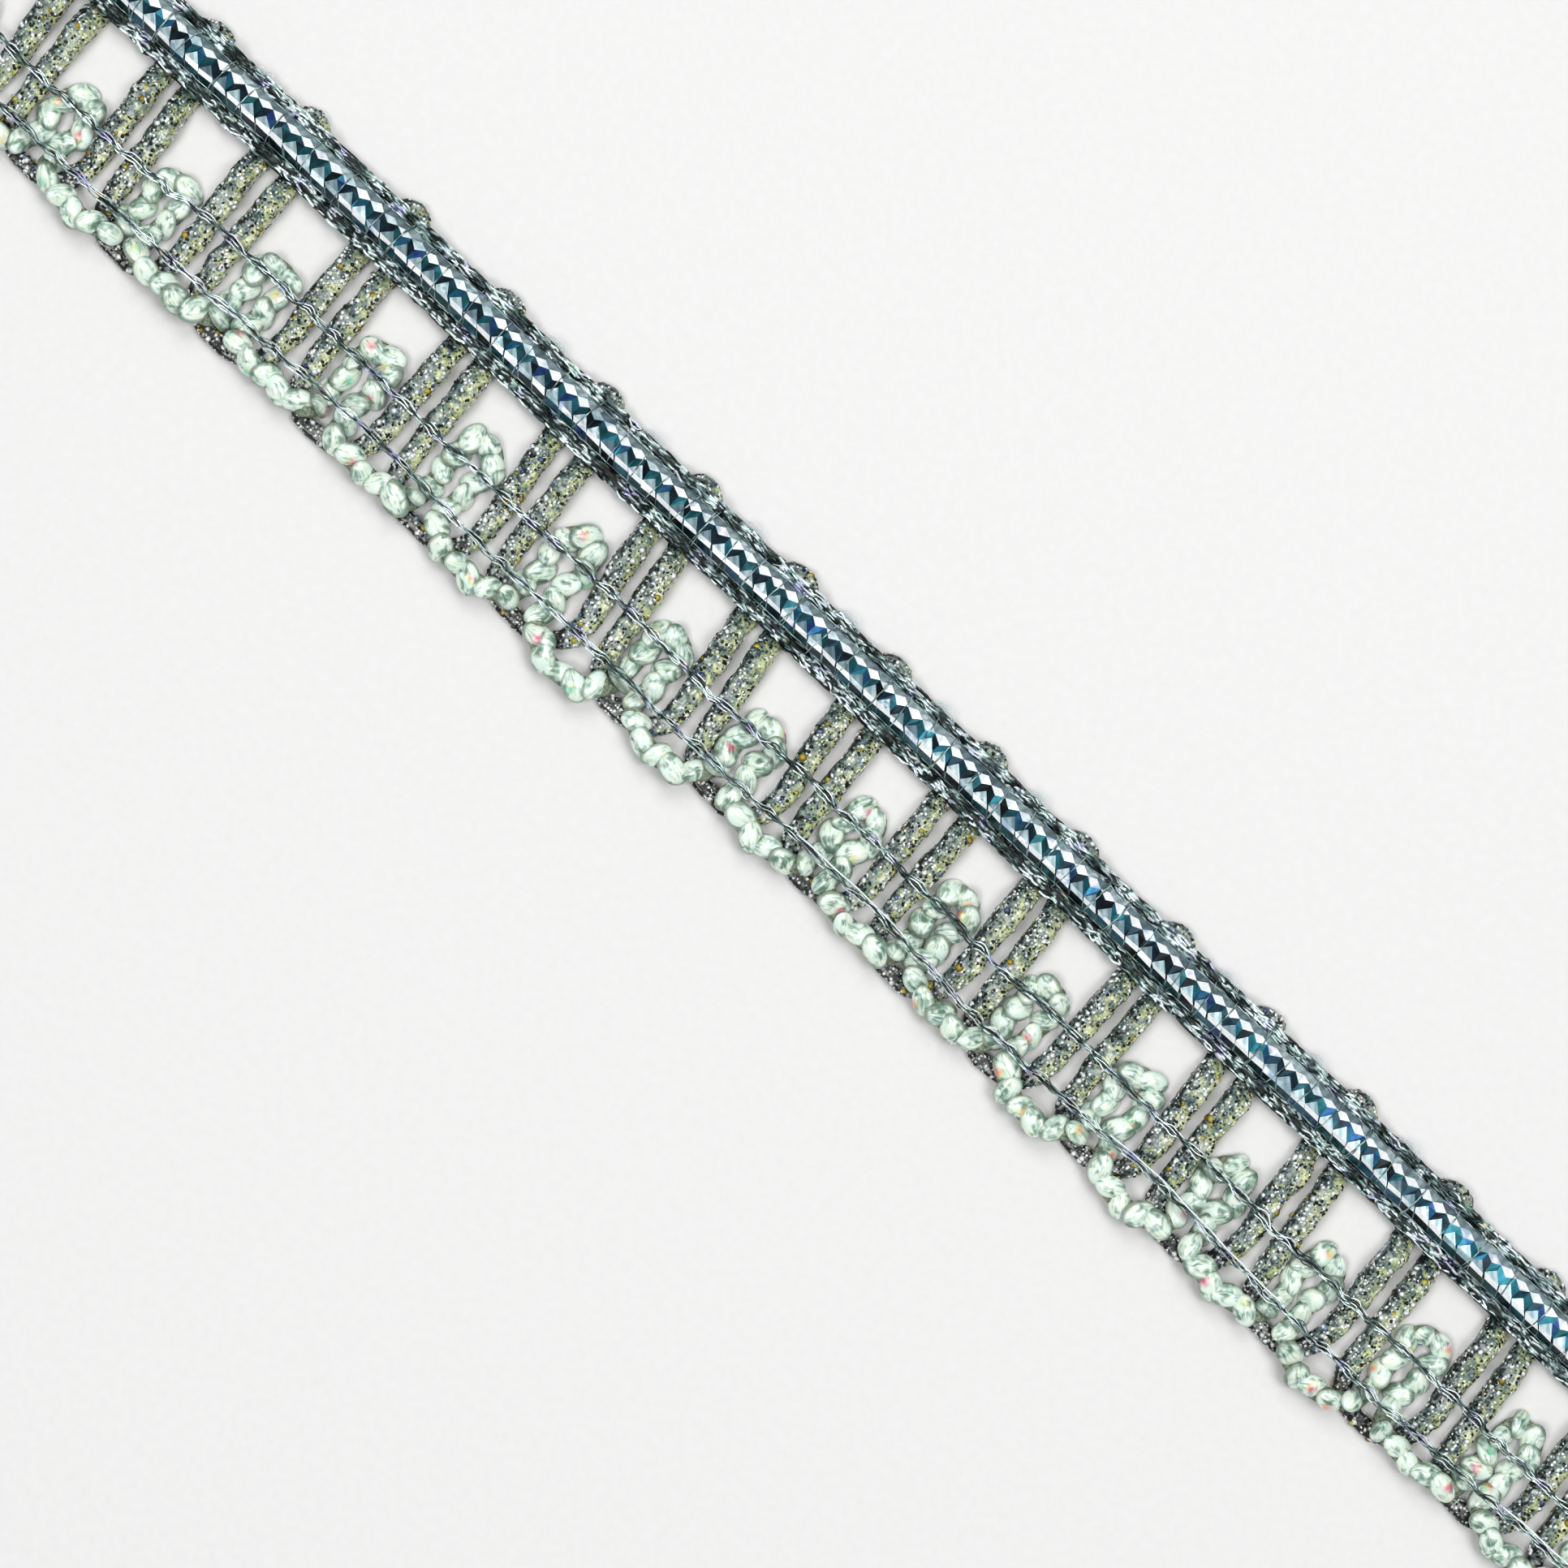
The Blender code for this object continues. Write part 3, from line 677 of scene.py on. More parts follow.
# Foil tube. A tube of mirror film about 4 mm wide, folded into diamonds all along, that runs
# straight under the picots. It lies on the cord and is held between two chain rows.
FOLD_PITCH = 2.18
FOLD_LOOSE = 0.07
SLIT = 0.18
TUBE_INSET = 0.05
TUBE_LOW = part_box("foil_tube")[0].z / MM
TUBE_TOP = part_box("foil_tube")[1].z / MM
END_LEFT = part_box("foil_tube")[0].x / MM
END_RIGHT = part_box("foil_tube")[1].x / MM

# Lines of fold corners over the tube, from its lower edge to its upper one, in millimetres:
# across: from the middle of the tube; lift: out of its round; shift: along it, in pitches
Fold = namedtuple("Fold", "across lift shift")
FOLDS = {
    "edge_low": Fold(-2.0, 0.0, 0.42), "slant_low": Fold(-1.4, 0.12, 0.2),
    "ridge": Fold(-0.86, 0.1, 0.0), "peak": Fold(0.28, -0.06, 0.5), "foot": Fold(0.5, 0.0, 0.0),
    "cheek": Fold(1.12, 0.12, 0.5), "tip": Fold(1.6, 0.04, 0.0), "edge_high": Fold(2.0, 0.0, 0.0),
    "back_high": Fold(1.3, 0.0, 0.0), "back_low": Fold(-1.3, 0.0, 0.0)}


def tube_height(across, under):
    """Gives the height of the round tube's upper or under side at a distance from its middle."""
    middle = (TUBE_LOW + TUBE_TOP) / 2.0
    half = (TUBE_TOP - TUBE_LOW) / 2.0 - TUBE_INSET
    bow = half * np.sqrt(np.maximum(1.0 - (across / (TUBE_WIDE / 2.0)) ** 2, 0.0))
    return middle - bow if under else middle + bow


random = np.random.default_rng(5)
columns = int(round((END_RIGHT - END_LEFT) / FOLD_PITCH))
pitch = (END_RIGHT - END_LEFT) / columns
head_x = [row.pair for row in REPEATS]
head_y = [row.head for row in REPEATS]
tube_points, tube_faces, tube_kinds, tube_shades = [], [], [], []
corner = {}
for name, fold in FOLDS.items():
    for column in range(columns + 1):
        for slit in (0, 1):
            loose = random.normal(scale=FOLD_LOOSE, size=3)
            x = END_LEFT + (column + fold.shift) * pitch + loose[0] + slit * SLIT
            x = min(max(x, END_LEFT), END_RIGHT)
            if name.startswith("edge") or name.startswith("back"):
                loose[:] = 0.0
            y = fold.across + loose[1]
            z = tube_height(fold.across, name.startswith("back")) + fold.lift + 0.5 * loose[2]
            corner[name, column, slit] = len(tube_points)
            tube_points.append((x, np.interp(x, head_x, head_y) + y, z))


def facet(kind, *names):
    """Adds one facet; kind is the material's number, and a name is a fold line, column and slit."""
    tube_faces.append([corner[n] for n in names])
    tube_kinds.append(kind)
    tube_shades.append(random.random())


# LIT facets get painted light and SHADED ones painted shade; SATIN ones the satin grey film with its lines
LIT, SHADED, SATIN = range(3)
for c in range(columns):
    d = c + 1
    facet(SHADED, ("edge_low", c, 1), ("edge_low", d, 0), ("slant_low", d, 0), ("slant_low", c, 1))
    facet(SATIN, ("edge_low", c, 0), ("edge_low", c, 1), ("slant_low", c, 1), ("slant_low", c, 0))
    facet(LIT, ("slant_low", c, 1), ("slant_low", d, 0), ("ridge", d, 0), ("ridge", c, 1))
    facet(SHADED, ("slant_low", c, 0), ("slant_low", c, 1), ("ridge", c, 1), ("ridge", c, 0))
    facet(SATIN, ("ridge", c, 1), ("ridge", d, 0), ("peak", c, 0))
    facet(SHADED, ("ridge", c, 0), ("ridge", c, 1), ("peak", c, 0), ("cheek", c, 0), ("foot", c, 0))
    facet(SHADED, ("peak", c, 0), ("ridge", d, 0), ("foot", d, 0), ("cheek", c, 0))
    if c:
        facet(LIT, ("foot", c, 0), ("cheek", c, 0), ("tip", c, 0), ("cheek", c - 1, 0))
    facet(SATIN, ("tip", c, 0), ("cheek", c, 0), ("tip", d, 0), ("edge_high", d, 0), ("edge_high", c, 0))
    facet(SATIN, ("edge_high", c, 0), ("edge_high", d, 0), ("back_high", d, 0), ("back_high", c, 0))
    facet(SATIN, ("back_high", c, 0), ("back_high", d, 0), ("back_low", d, 0), ("back_low", c, 0))
    facet(SATIN, ("back_low", c, 0), ("back_low", d, 0), ("edge_low", d, 0), ("edge_low", c, 1),
          ("edge_low", c, 0))

facet(LIT, ("foot", 0, 0), ("cheek", 0, 0), ("tip", 0, 0))
facet(LIT, ("foot", columns, 0), ("tip", columns, 0), ("cheek", columns - 1, 0))
cut_end = ("edge_low", "slant_low", "ridge", "foot", "tip", "edge_high", "back_high", "back_low")
facet(SATIN, *((name, 0, 0) for name in cut_end))
facet(SATIN, *((name, columns, 0) for name in reversed(cut_end)))

# Aluminium-coated polyester film, slit and folded. Its light and shade are painted: mirror white on the
# folds that face the light, deep teal, navy and black as painted shade on those that face away, each
# moved by a painted sheen, and satin grey with slanting lines. The lines are drawn 0.9 mm apart,
# coarser than the real ones, so that they show.
Film = namedtuple("Film", "name metallic roughness lined sheen stops")
FILMS = (
    Film("lit", 0.2, 0.2, 0.12, 0.5, (
        (0.0, "90AEB8"), (0.12, "D2E6EE"), (0.22, "F6FDFF"), (0.9, "FFFFFF"), (1.0, "B4CAE8"))),
    Film("shaded", 0.8, 0.25, 0.3, 0.6, (
        (0.0, "04080C"), (0.35, "0E2A38"), (0.6, "144A50"), (0.8, "1D5E70"), (1.0, "1C3268"))),
    Film("satin", 0.6, 0.34, 0.8, 0.7, (
        (0.0, "546C76"), (0.5, "829AA0"), (0.85, "A6BCC2"), (0.97, "CEDEE4"), (1.0, "88AEB4"))),
)
SATIN_LINES = 0.8933
WAVE_TURNS = 10.0
SHEEN_LONG = 1.1
folded_films = []
for film in FILMS:
    made, tree = new_finish("folded_mirror_film_" + film.name)
    place = add(tree, "TexCoord").outputs["Object"]
    shade = mark_of(tree, "shade")
    lines_scale = 2.0 * math.pi / WAVE_TURNS / (math.sqrt(2.0) * SATIN_LINES * MM)
    # Painted reflection: a soft noise moves each facet's tone
    sheen = add(tree, "TexNoise", {
        "Vector": place, "Scale": 1.0 / (SHEEN_LONG * MM), "Detail": 1.0}).outputs["Fac"]
    sheen_off = add(tree, "Math", {0: sheen, 1: 0.5}, operation="SUBTRACT").outputs[0]
    moved = add(tree, "Math", {
        0: sheen_off, 1: film.sheen, 2: shade}, operation="MULTIPLY_ADD").outputs[0]
    tone = add(tree, "ValToRGB", {"Fac": moved}, stops=film.stops)
    lines = add(tree, "TexWave", {
        "Vector": place, "Scale": lines_scale, "Distortion": 1.5},
        bands_direction="DIAGONAL").outputs["Fac"]
    line_tone = add(tree, "ValToRGB", {"Fac": lines}, stops=((0.2, "C4C8C8"), (0.7, "FFFFFF")))
    colour = add(tree, "Mix", {
        "Factor": film.lined, 6: tone.outputs["Color"], 7: line_tone.outputs["Color"]},
        data_type="RGBA", blend_type="MULTIPLY").outputs[2]
    end_finish(tree, {
        "Base Color": colour, "Metallic": film.metallic, "Roughness": film.roughness})
    folded_films.append(made)

mesh = bpy.data.meshes.new("foil_tube_folds")
used = sorted({index for face in tube_faces for index in face})
number_of_corner = {index: number for number, index in enumerate(used)}
tube_faces = [[number_of_corner[index] for index in face] for face in tube_faces]
mesh.from_pydata(
    ((np.array(tube_points)[used] - (0.0, MIDDLE_Y, 0.0)) * MM).tolist(), [], tube_faces)
for made in folded_films:
    mesh.materials.append(made)
mesh.polygons.foreach_set("material_index", tube_kinds)
mesh.attributes.new("shade", "FLOAT", "FACE").data.foreach_set("value", tube_shades)
mesh.update()
tube = put("foil_tube_folds", mesh)
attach(tube, "root")
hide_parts("foil_tube")

# Lurex chain rows. Flat metallised yarn, crocheted into four rows that bind the cords: one outside
# the tube, a double one under it, one over the bars and arches, and one over their feet. The first
# two are close and crumpled; the other two lie flat over each cord and sag in the gaps between.
ROW_STEP = 0.27
EASE_STEPS = 3
YARN_HIGH = 0.1
YARN_SIDES = 5
YARN_TURN = 0.1
YARN_TURN_MOST = 0.7
YARN_LIFT = 0.62
LIFT_WAVE = 0.16
CROSS_LIFT = 0.6
TOP_LIFT = 0.1
OUTER_Y = 2.95
DIPS = (-0.42, 0.06)
SAG_SHARES = (0.2, 1.7)
EASE_SAG = (0.2, 0.6, 0.2)
BETWEEN_CORDS = 0.55
ON_CORDS = 0.45
GLINT_HALF = 0.62
GLINT_LOOSE = 0.12
GLINT_LONG = (0.5, 1.5)
GLINT_LIGHT = (0.45, 1.0)
EASE_LIGHT = (0.15, 0.7, 0.15)
DULL_WAVE = 0.09
CLUSTER_LONG = 1.6
CLUSTER_LIGHT = 0.75
CLUSTER_WAVE = 0.3
CLUSTER_ENDS = (0.25, 1.2)
OPEN_LIGHT = 1.2
NEAR_SHADE = 0.35
BED_HIGH = 0.7
BED_SIDES = 8
BED_LIFT = 0.4
BED_FULL = 1.02
BED_NARROW = 0.26
BED_WAVE = 0.07
BED_THIN = 0.3
BED_THIN_HALF = 1.6


def row_line(line, over, down, high_z, low_z):
    """Gives X, Y and underside of a row that lies higher near each centre than between them."""
    x = np.arange(END_LEFT, END_RIGHT + ROW_STEP / 2.0, ROW_STEP)
    centres = np.array([centre for centre, _ in line])
    y = np.interp(x, centres, [height for _, height in line])
    away = np.abs(x[:, None] - centres).min(axis=1)
    share = np.clip((down - away) / (down - over), 0.0, 1.0)
    share = share * share * (3.0 - 2.0 * share)
    height = np.pad(low_z + (high_z - low_z) * share, EASE_STEPS, mode="edge")
    reach = 2 * EASE_STEPS + 1
    return np.stack([x, y, np.convolve(height, np.full(reach, 1.0 / reach), mode="valid")], axis=1)


def glints(random, count, often):
    """Gives a run of short bright stretches: 0 where the yarn is dark and up to 1 on a glint."""
    light = np.zeros(count)
    at = 0
    while at < count:
        at += int(random.exponential(often) / ROW_STEP) + 1
        long = int(random.uniform(*GLINT_LONG) / ROW_STEP) + 1
        light[at:at + long] = random.uniform(*GLINT_LIGHT)
        at += long
    return light


def yarn(random, path, wide, high):
    """Draws one flat yarn that turns over as it goes."""
    turns = np.linspace(0.0, 2.0 * math.pi, YARN_SIDES, endpoint=False)
    twist = np.cumsum(random.normal(scale=YARN_TURN, size=len(path)))
    twist = np.clip(twist, -YARN_TURN_MOST, YARN_TURN_MOST)[:, None]
    across = 0.5 * wide * np.cos(turns)
    up = 0.5 * high * np.sin(turns)
    return sweep(
        path, across * np.cos(twist) - up * np.sin(twist), across * np.sin(twist) + up * np.cos(twist))


def pair_centre(row, y):
    return (bar_x(row, -1, y) + bar_x(row, 1, y)) / 2.0


def crossings(height):
    """Lists the X at which bars and arch legs cross a row; height gives the row's Y at a pair."""
    bars = [bar_x(row, side, height(row)) for row in REPEATS for side in (-1, 1)]
    legs = [row.arch + side * leg_half(row) for row in REPEATS for side in (-1, 1)]
    return np.sort(bars), np.sort(bars + legs)


# One entry for each row:
# line: its centres; over, down: how near a centre it lies high, and how far from it low;
# high_z, low_z: its two undersides; shift: Y off the solid; yarns, yarn_wide, wander: its yarns;
# often: mean distance between glints; dull: light between them; near: the yarn in the tube's shade;
# bars, cords: the X of what it crosses; thin: the X at which its bed narrows
CordRow = namedtuple(
    "CordRow", "node line over down high_z low_z shift wide high yarns yarn_wide wander often dull "
    "near bars cords thin")
middle_line = [(pair_centre(row, row.middle), row.middle) for row in REPEATS]
lower_line = [(pair_centre(row, row.lower), row.lower) for row in REPEATS]
middle_bars, middle_cords = crossings(lambda row: row.middle)
lower_bars, lower_cords = crossings(lambda row: row.lower)
outer_line = [(row.picot, row.head + OUTER_Y) for row in REPEATS]
under_line = [(row.pair, row.head + UNDER_Y) for row in REPEATS]
over_arch = STRING_ARCH_Z + STRING_HIGH + GAP
over_end = STRING_OVER_Z + STRING_HIGH + GAP
ROWS = (
    CordRow("chain_outer", outer_line, 2.8, 4.2, PICOT_HIGH + GAP, 0.6, -0.1, 1.6, 0.8,
            9, 0.4, 0.12, 0.36, 0.17, 0, None, None, [row.picot for row in REPEATS]),
    CordRow("chain_tube", under_line, 3.9, 5.0, PRESSED_HIGH + GAP, 0.9, 0.2, 1.85, 1.2,
            11, 0.4, 0.13, 0.42, 0.08, 10, None, None, None),
    CordRow("chain_middle", middle_line, 3.3, 3.9, CORD_HIGH + GAP, over_arch, -0.22, 1.1, 0.6,
            5, 0.21, 0.09, 0.55, 0.17, None, middle_bars, middle_cords, None),
    CordRow("chain_lower", lower_line, 2.6, 3.3, FOOT_HIGH + GAP, over_end, 0.42, 1.1, 0.6,
            5, 0.2, 0.09, 0.5, 0.27, None, lower_bars, lower_cords, None),
)

# Lurex: aluminium-coated polyester slit to 0.3 mm and plied. Its glints are painted by the glint mark:
# nearly black where it is taken to turn away, and white, with a little blue, teal or gold, where it is
# taken to lie flat to the light
HUE_LONG = 2.2
lurex, tree = new_finish("metallised_polyester_lurex")
place = add(tree, "TexCoord").outputs["Object"]
glint = mark_of(tree, "glint")
tone = add(tree, "ValToRGB", {"Fac": glint}, stops=(
    (0.0, "08100F"), (0.16, "1E2A2A"), (0.32, "6A7C7A"), (0.46, "C6D6D4"), (0.58, "FFFFFF")))
hue_cloud = add(tree, "TexNoise", {
    "Vector": place, "Scale": 1.0 / (HUE_LONG * MM), "Detail": 1.0}).outputs["Fac"]
hue = add(tree, "ValToRGB", {"Fac": hue_cloud}, stops=(
    (0.3, "8A84D8"), (0.4, "E2F2FF"), (0.58, "E8FFFA"), (0.68, "90D0C6"), (0.75, "EEC088")))
colour = add(tree, "Mix", {
    "Factor": 0.65, 6: tone.outputs["Color"], 7: hue.outputs["Color"]},
    data_type="RGBA", blend_type="MULTIPLY").outputs[2]
end_finish(tree, {
    "Base Color": colour, "Metallic": 0.35, "Roughness": 0.25})

# The same lurex drawn tight under the stitches, painted dark green to black as shade where little light
# reaches, with dull streaks along the row, 1.4 mm long and 0.3 mm wide
STREAK_LONG = 1.4
STREAK_WIDE = 0.3
dark_lurex, tree = new_finish("metallised_polyester_lurex_under_stitches")
place = add(tree, "TexCoord").outputs["Object"]
drawn = add(tree, "Mapping", {"Vector": place, "Scale": (
    1.0 / (STREAK_LONG * MM), 1.0 / (STREAK_WIDE * MM), 1.0 / (STREAK_LONG * MM))}).outputs[0]
streak = add(tree, "TexNoise", {"Vector": drawn, "Scale": 1.0, "Detail": 1.0}).outputs["Fac"]
tone = add(tree, "ValToRGB", {"Fac": streak}, stops=(
    (0.42, "060C0B"), (0.54, "16211F"), (0.62, "465654"), (0.72, "9CACAA")))
end_finish(tree, {
    "Base Color": tone.outputs["Color"], "Metallic": 0.5, "Roughness": 0.4})

random = np.random.default_rng(23)
for row in ROWS:
    base = row_line(row.line, row.over, row.down, row.high_z, row.low_z)
    base[:, 1] += row.shift
    count = len(base)
    sag = np.zeros(count)
    if row.cords is not None:
        gap_middles = (row.cords[1:] + row.cords[:-1]) / 2.0
        knots = np.sort(np.concatenate([row.cords, gap_middles]))
        dips = np.zeros(len(knots))
        dips[1::2] = random.uniform(*DIPS, len(gap_middles))
        sag = np.convolve(np.interp(base[:, 0], knots, dips), EASE_SAG, mode="same")
    clusters = smooth_noise(random, (count, 1), int(CLUSTER_LONG / ROW_STEP) * 2)[:, 0]
    parts, marks = [], []
    for number in range(row.yarns):
        lane = (number / (row.yarns - 1) - 0.5) * (row.wide - row.yarn_wide)
        drift = smooth_noise(random, (count, 1), 3)[:, 0] * row.wander
        lift = YARN_LIFT + LIFT_WAVE * smooth_noise(random, (count, 1), 3)[:, 0].clip(-2.0, 2.0)
        dull = row.dull + DULL_WAVE * smooth_noise(random, (count, 1), 1)[:, 0]
        # Painted highlights and shade: glints in brighter clusters, and painted shade on the yarns nearest
        # the tube
        bright = glints(random, count, row.often)
        bright *= (CLUSTER_LIGHT + CLUSTER_WAVE * clusters).clip(*CLUSTER_ENDS)
        if row.near is not None:
            bright *= OPEN_LIGHT - NEAR_SHADE * (1.0 - abs(number - row.near) / (row.yarns - 1))
        light = np.maximum(dull, bright)
        path = base.copy()
        if row.cords is not None:
            off_cord = np.abs(base[:, :1] - row.cords).min(axis=1)
            on_cord = 1.0 - np.clip(off_cord - GLINT_HALF, 0.0, 1.0)
            lane = lane * (BETWEEN_CORDS + ON_CORDS * on_cord)
            off_bar = np.abs(base[:, :1] - row.bars).min(axis=1)
            top = number % 2 == 0
            lift = CROSS_LIFT + (TOP_LIFT if top else -TOP_LIFT)
            # Painted highlight over each bar: white on the top yarns, black on the others
            on_bar = off_bar < GLINT_HALF + GLINT_LOOSE * random.normal(size=count)
            light = np.where(on_bar, 1.0 if top else 0.0, light)
        path[:, 1] += lane + drift + sag * random.uniform(*SAG_SHARES)
        path[:, 2] += row.high * lift
        parts.append(yarn(random, path, row.yarn_wide, YARN_HIGH))
        light = np.convolve(light, EASE_LIGHT, mode="same").clip(0.0, 1.0)
        marks.append(np.repeat(light, YARN_SIDES))
    piece = make_piece(row.node + "_yarns", parts, lurex, "silver_lurex", glint=np.concatenate(marks))
    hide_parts(row.node)
    # The bed: a dark band under the yarns that fills the row with painted shade
    bed_wide = (BED_FULL if row.cords is None else BED_NARROW) * row.wide
    bed_path = (base + (0.0, 0.0, BED_LIFT * row.high))[::2]
    bed_path[:, 1] += sag[::2]
    uneven = 1.0 + BED_WAVE * smooth_noise(random, (len(bed_path), BED_SIDES), 1)
    if row.thin is not None:
        off_picot = np.abs(bed_path[:, :1] - row.thin).min(axis=1)
        full = np.clip(off_picot - BED_THIN_HALF, 0.0, 1.0)
        uneven *= (BED_THIN + (1.0 - BED_THIN) * full)[:, None]
    bed = thread(bed_path, bed_wide, BED_HIGH * row.high, BED_SIDES, uneven)
    make_piece(row.node + "_bed", [bed], dark_lurex, "silver_lurex")

# Cross stitches. The same lurex, split fine, crosses the tube from one row to the other every few
# millimetres and holds it down; some stitches are a single yarn and some a narrow V.
STITCH_LEAST = 2.8
STITCH_MOST = 5.6
STITCH_WIDE = 0.15
STITCH_HIGH = 0.07
STITCH_REACH = 2.75
STITCH_LIFT = 0.14
STITCH_PLACES = 15
STITCH_LOOSE = 0.02
STITCH_LIGHT = (0.2, 0.52)
STITCH_TIED = 0.6
ENDS_CLEAR = 1.5
EDGE_THREAD_Y = 2.08
EDGE_STEP = 0.6
EDGE_LOOSE = 0.03
EDGE_DROP = 0.3
STITCH_LEANS = (0.3, -0.3, 0.1, -0.1)
DOUBLE_SHARE = 0.25
stitch_parts = []
outer_path, tube_path = (
    row_line(row.line, row.over, row.down, row.high_z, row.low_z) + (0.0, 0.0, STITCH_TIED * row.high)
    for row in ROWS[:2])
x = END_LEFT + ENDS_CLEAR
while x < END_RIGHT - ENDS_CLEAR:
    doubled = 2 if random.random() < DOUBLE_SHARE else 1
    for lean in random.choice(STITCH_LEANS, size=doubled, replace=False):
        share = np.linspace(-1.0, 1.0, STITCH_PLACES)
        reach = share * STITCH_REACH
        round_tube = tube_height(np.clip(reach, -TUBE_WIDE / 2.0, TUBE_WIDE / 2.0), False) + STITCH_LIFT
        off_tube = np.maximum(np.abs(reach) - TUBE_WIDE / 2.0, 0.0) / (STITCH_REACH - TUBE_WIDE / 2.0)
        tied = np.where(
            reach > 0.0, np.interp(x, outer_path[:, 0], outer_path[:, 2]),
            np.interp(x, tube_path[:, 0], tube_path[:, 2]))
        path = np.stack([
            x + lean * share + STITCH_LOOSE * random.normal(size=STITCH_PLACES),
            np.interp(x, head_x, head_y) + reach,
            round_tube * (1.0 - off_tube) + tied * off_tube], axis=1)
        stitch_parts.append(thread(path, STITCH_WIDE, STITCH_HIGH, YARN_SIDES))
    x += random.uniform(STITCH_LEAST, STITCH_MOST)
for side in (-1, 1):
    x = np.arange(END_LEFT, END_RIGHT, EDGE_STEP)
    y = np.interp(x, head_x, head_y) + side * EDGE_THREAD_Y + EDGE_LOOSE * random.normal(size=len(x))
    height = tube_height(TUBE_WIDE / 2.0, False) - EDGE_DROP
    path = np.stack([x, y, np.full(len(x), height)], axis=1)
    stitch_parts.append(thread(path, STITCH_WIDE, STITCH_HIGH, YARN_SIDES))
stitch_rings = sum(len(part[0]) for part in stitch_parts) // YARN_SIDES
stitch_light = np.repeat(random.uniform(*STITCH_LIGHT, stitch_rings), YARN_SIDES)
make_piece("cross_stitches", stitch_parts, lurex, "silver_lurex", glint=stitch_light)

# Outer loops and floats. Clear filament stands out of the outer row in small loops between two
# picots, and a silver filament floats straight over a few stretches of the lower row.
LOOP_X = 7.4
LOOP_HALF = 1.8
LOOP_OUT = 1.15
LOOP_THICK = 0.09
LOOP_NESTS = 6
LOOP_PLACES = 17
LOOP_PAST = 0.05
LOOP_CLEAR = 0.3
LOOP_Z = 1.5
NEST_SHRINK = 0.11
NEST_DROP = 0.15
FLOAT_THICK = 0.24
FLOAT_STEP = 0.5
FLOAT_UP = 0.75
FLOAT_WAVE = 0.05
FLOAT_OVER = 0.75
FLOAT_LIGHT = 0.85
FLOATS =((5.0, 23.0), (55.0, 83.0), (117.0, 128.0))
# Drawn nylon filament: clear, smooth and glossy, so that it shows by its glints only
clear_filament, tree = new_finish("drawn_clear_nylon_filament")
end_finish(tree, {
    "Base Color": linear("F0FAFC"), "Roughness": 0.15, "IOR": 1.53, "Transmission Weight": 0.7})
loop_parts = []
for row in REPEATS:
    if row.loop:
        for nest in range(LOOP_NESTS):
            size = 1.0 - NEST_SHRINK * nest
            turn = np.linspace(-LOOP_PAST, math.pi + LOOP_PAST, LOOP_PLACES)
            path = np.stack([
                row.picot + LOOP_X - LOOP_HALF * size * np.cos(turn),
                row.head + OUTER_Y + LOOP_CLEAR + LOOP_OUT * size * np.sin(turn),
                np.full(LOOP_PLACES, LOOP_Z - NEST_DROP * nest)], axis=1)
            loop_parts.append(thread(path, LOOP_THICK, LOOP_THICK, YARN_SIDES))
make_piece("outer_loops", loop_parts, clear_filament, "silver_lurex")
float_parts = []
lower_x = [centre for centre, _ in lower_line]
lower_y = [height for _, height in lower_line]
for first, last in FLOATS:
    x = np.linspace(first, last, int((last - first) / FLOAT_STEP))
    y = np.interp(x, lower_x, lower_y) + FLOAT_UP + FLOAT_WAVE * np.sin(x)
    path = np.stack([x, y, np.full(len(x), over_end + FLOAT_OVER)], axis=1)
    float_parts.append(thread(path, FLOAT_THICK, FLOAT_THICK, YARN_SIDES))
float_light = np.full(sum(len(part[0]) for part in float_parts), FLOAT_LIGHT)
make_piece("lower_floats", float_parts, lurex, "silver_lurex", glint=float_light)

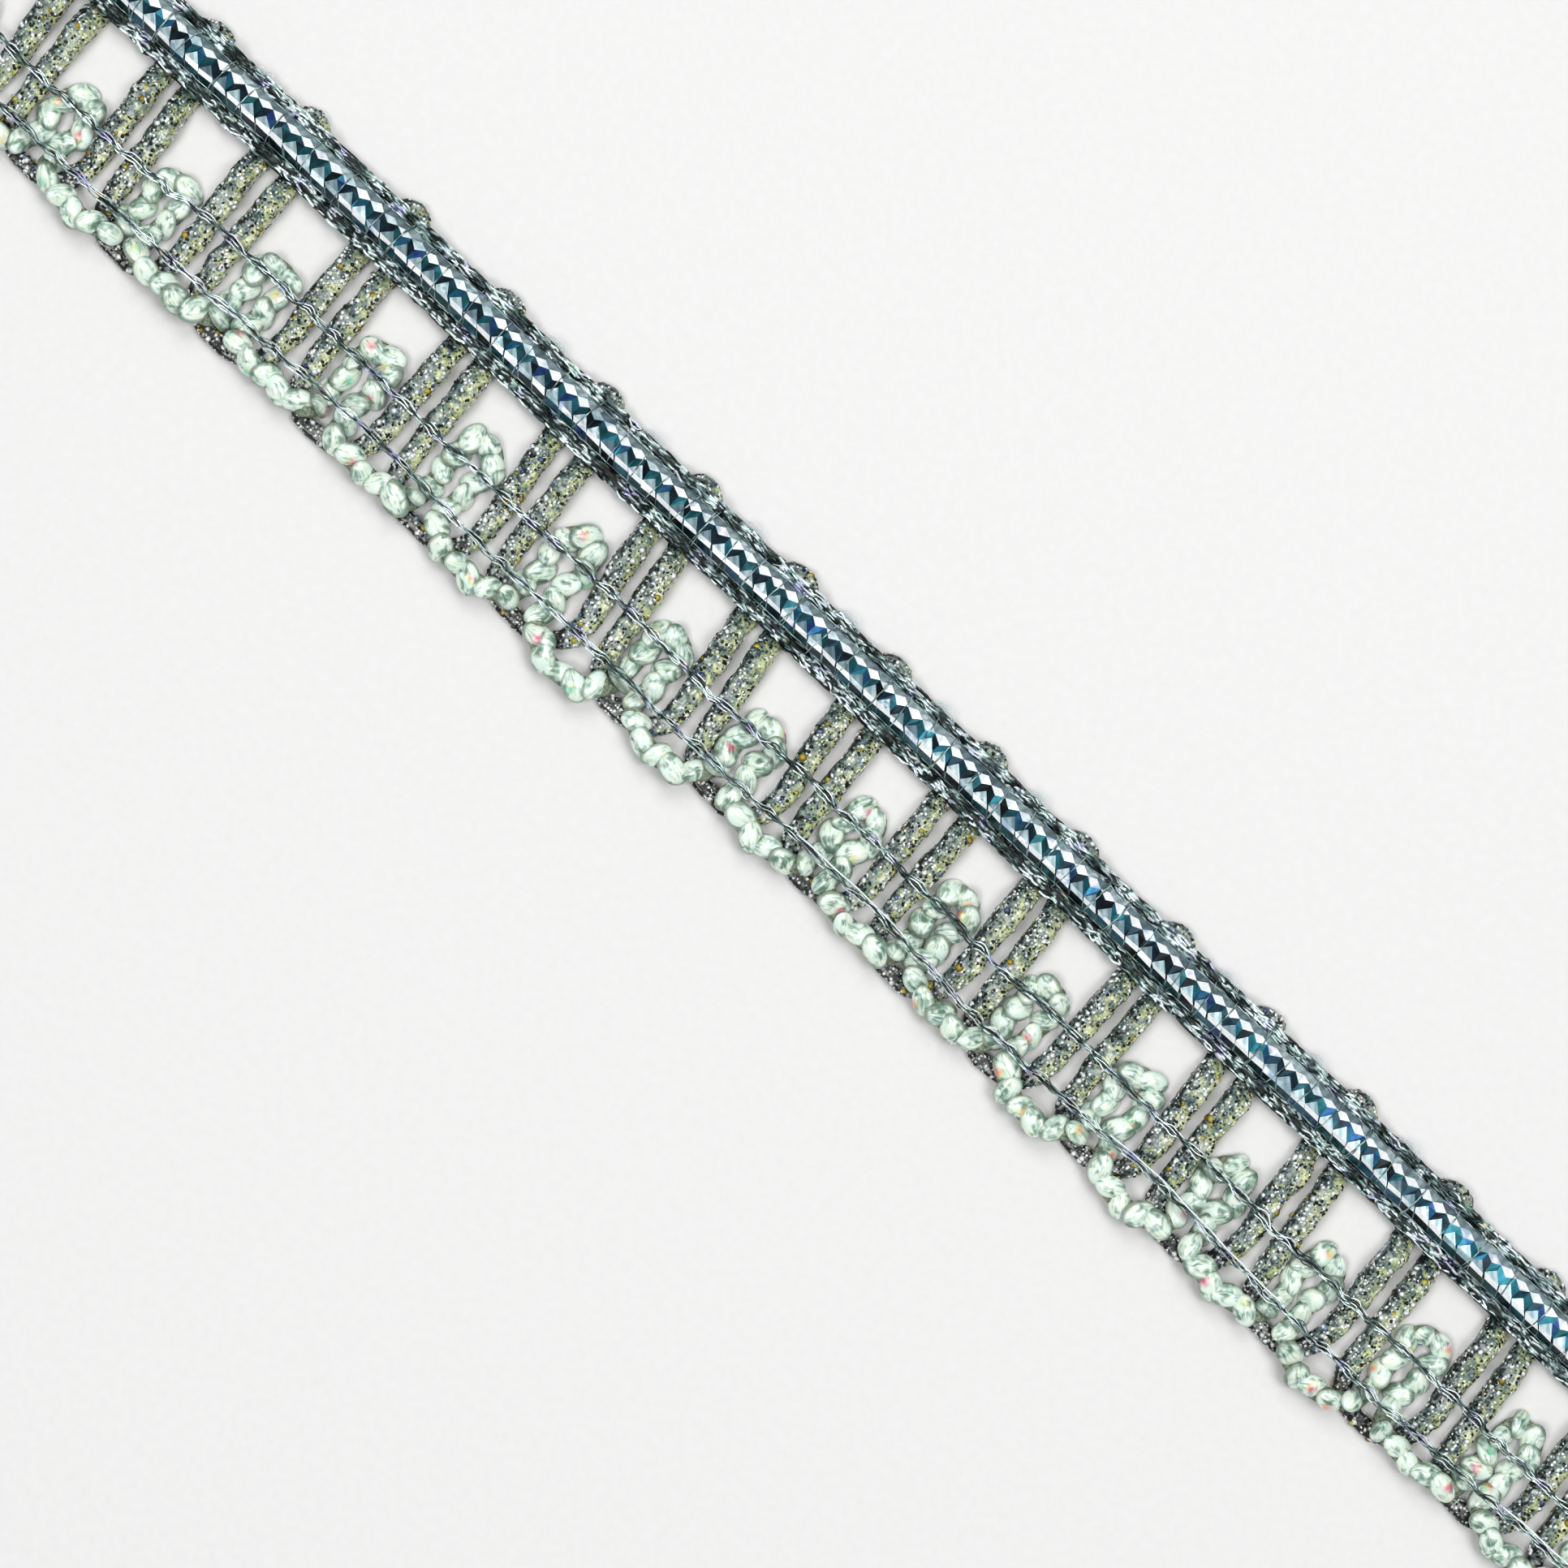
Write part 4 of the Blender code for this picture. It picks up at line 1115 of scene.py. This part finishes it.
# Floor, lights and camera. A plain pale floor under soft boxes, seen from straight above with the
# trim lying from the upper left to the lower right, cut off by the picture at both ends.
FLOOR_HALF = 0.9
VIEW_SIDE = 0.1823
VIEW_TURN = 43.3
LENS = 100.0
SENSOR = 36.0
WORLD_LIGHT = 0.3
GRAINS_PER_MM = 0.9
# Board with matt paint rolled on: an even, very pale grey with hardly any grain
pale_floor, tree = new_finish("matt_painted_board")
place = add(tree, "TexCoord").outputs["Object"]
grain = add(tree, "TexNoise", {
    "Vector": place, "Scale": GRAINS_PER_MM / MM, "Detail": 2.0}).outputs["Fac"]
colour = add(tree, "ValToRGB", {"Fac": grain}, stops=((0.3, "E3E2E1"), (0.7, "E6E5E4")))
end_finish(tree, {"Base Color": colour.outputs["Color"], "Roughness": 0.85})
mesh = bpy.data.meshes.new("floor")
mesh.from_pydata(
    [(x * FLOOR_HALF, y * FLOOR_HALF, 0.0) for x, y in ((-1, -1), (1, -1), (1, 1), (-1, 1))],
    [], [(0, 1, 2, 3)])
mesh.materials.append(pale_floor)
floor = put("floor", mesh)

SoftBox = namedtuple("SoftBox", "name place wide power")
for box in (
    SoftBox("key_light", (-0.3, 0.45, 0.75), 0.5, 3.0),
    SoftBox("upper_light", (0.35, 0.25, 1.0), 0.45, 4.4),
    SoftBox("lower_light", (-0.2, -0.4, 1.0), 0.45, 4.2),
):
    data = bpy.data.lights.new(box.name, "AREA")
    data.size = box.wide
    data.energy = box.power
    light = put(box.name, data)
    light.location = box.place
    light.rotation_euler = (-light.location).to_track_quat("-Z", "Y").to_euler()

world = bpy.data.worlds.new("studio")
world.use_nodes = True
world.node_tree.nodes["Background"].inputs["Color"].default_value = linear("F4F7FA")
world.node_tree.nodes["Background"].inputs["Strength"].default_value = WORLD_LIGHT
bpy.context.scene.world = world
bpy.context.scene.view_settings.view_transform = "Standard"

data = bpy.data.cameras.new("camera")
data.lens = LENS
data.sensor_width = SENSOR
data.clip_start = 0.01
camera = put("camera", data)
camera.location = (0.0, -MIDDLE_Y * MM, VIEW_SIDE * LENS / SENSOR)
camera.rotation_euler = (0.0, 0.0, math.radians(VIEW_TURN))
bpy.context.scene.camera = camera
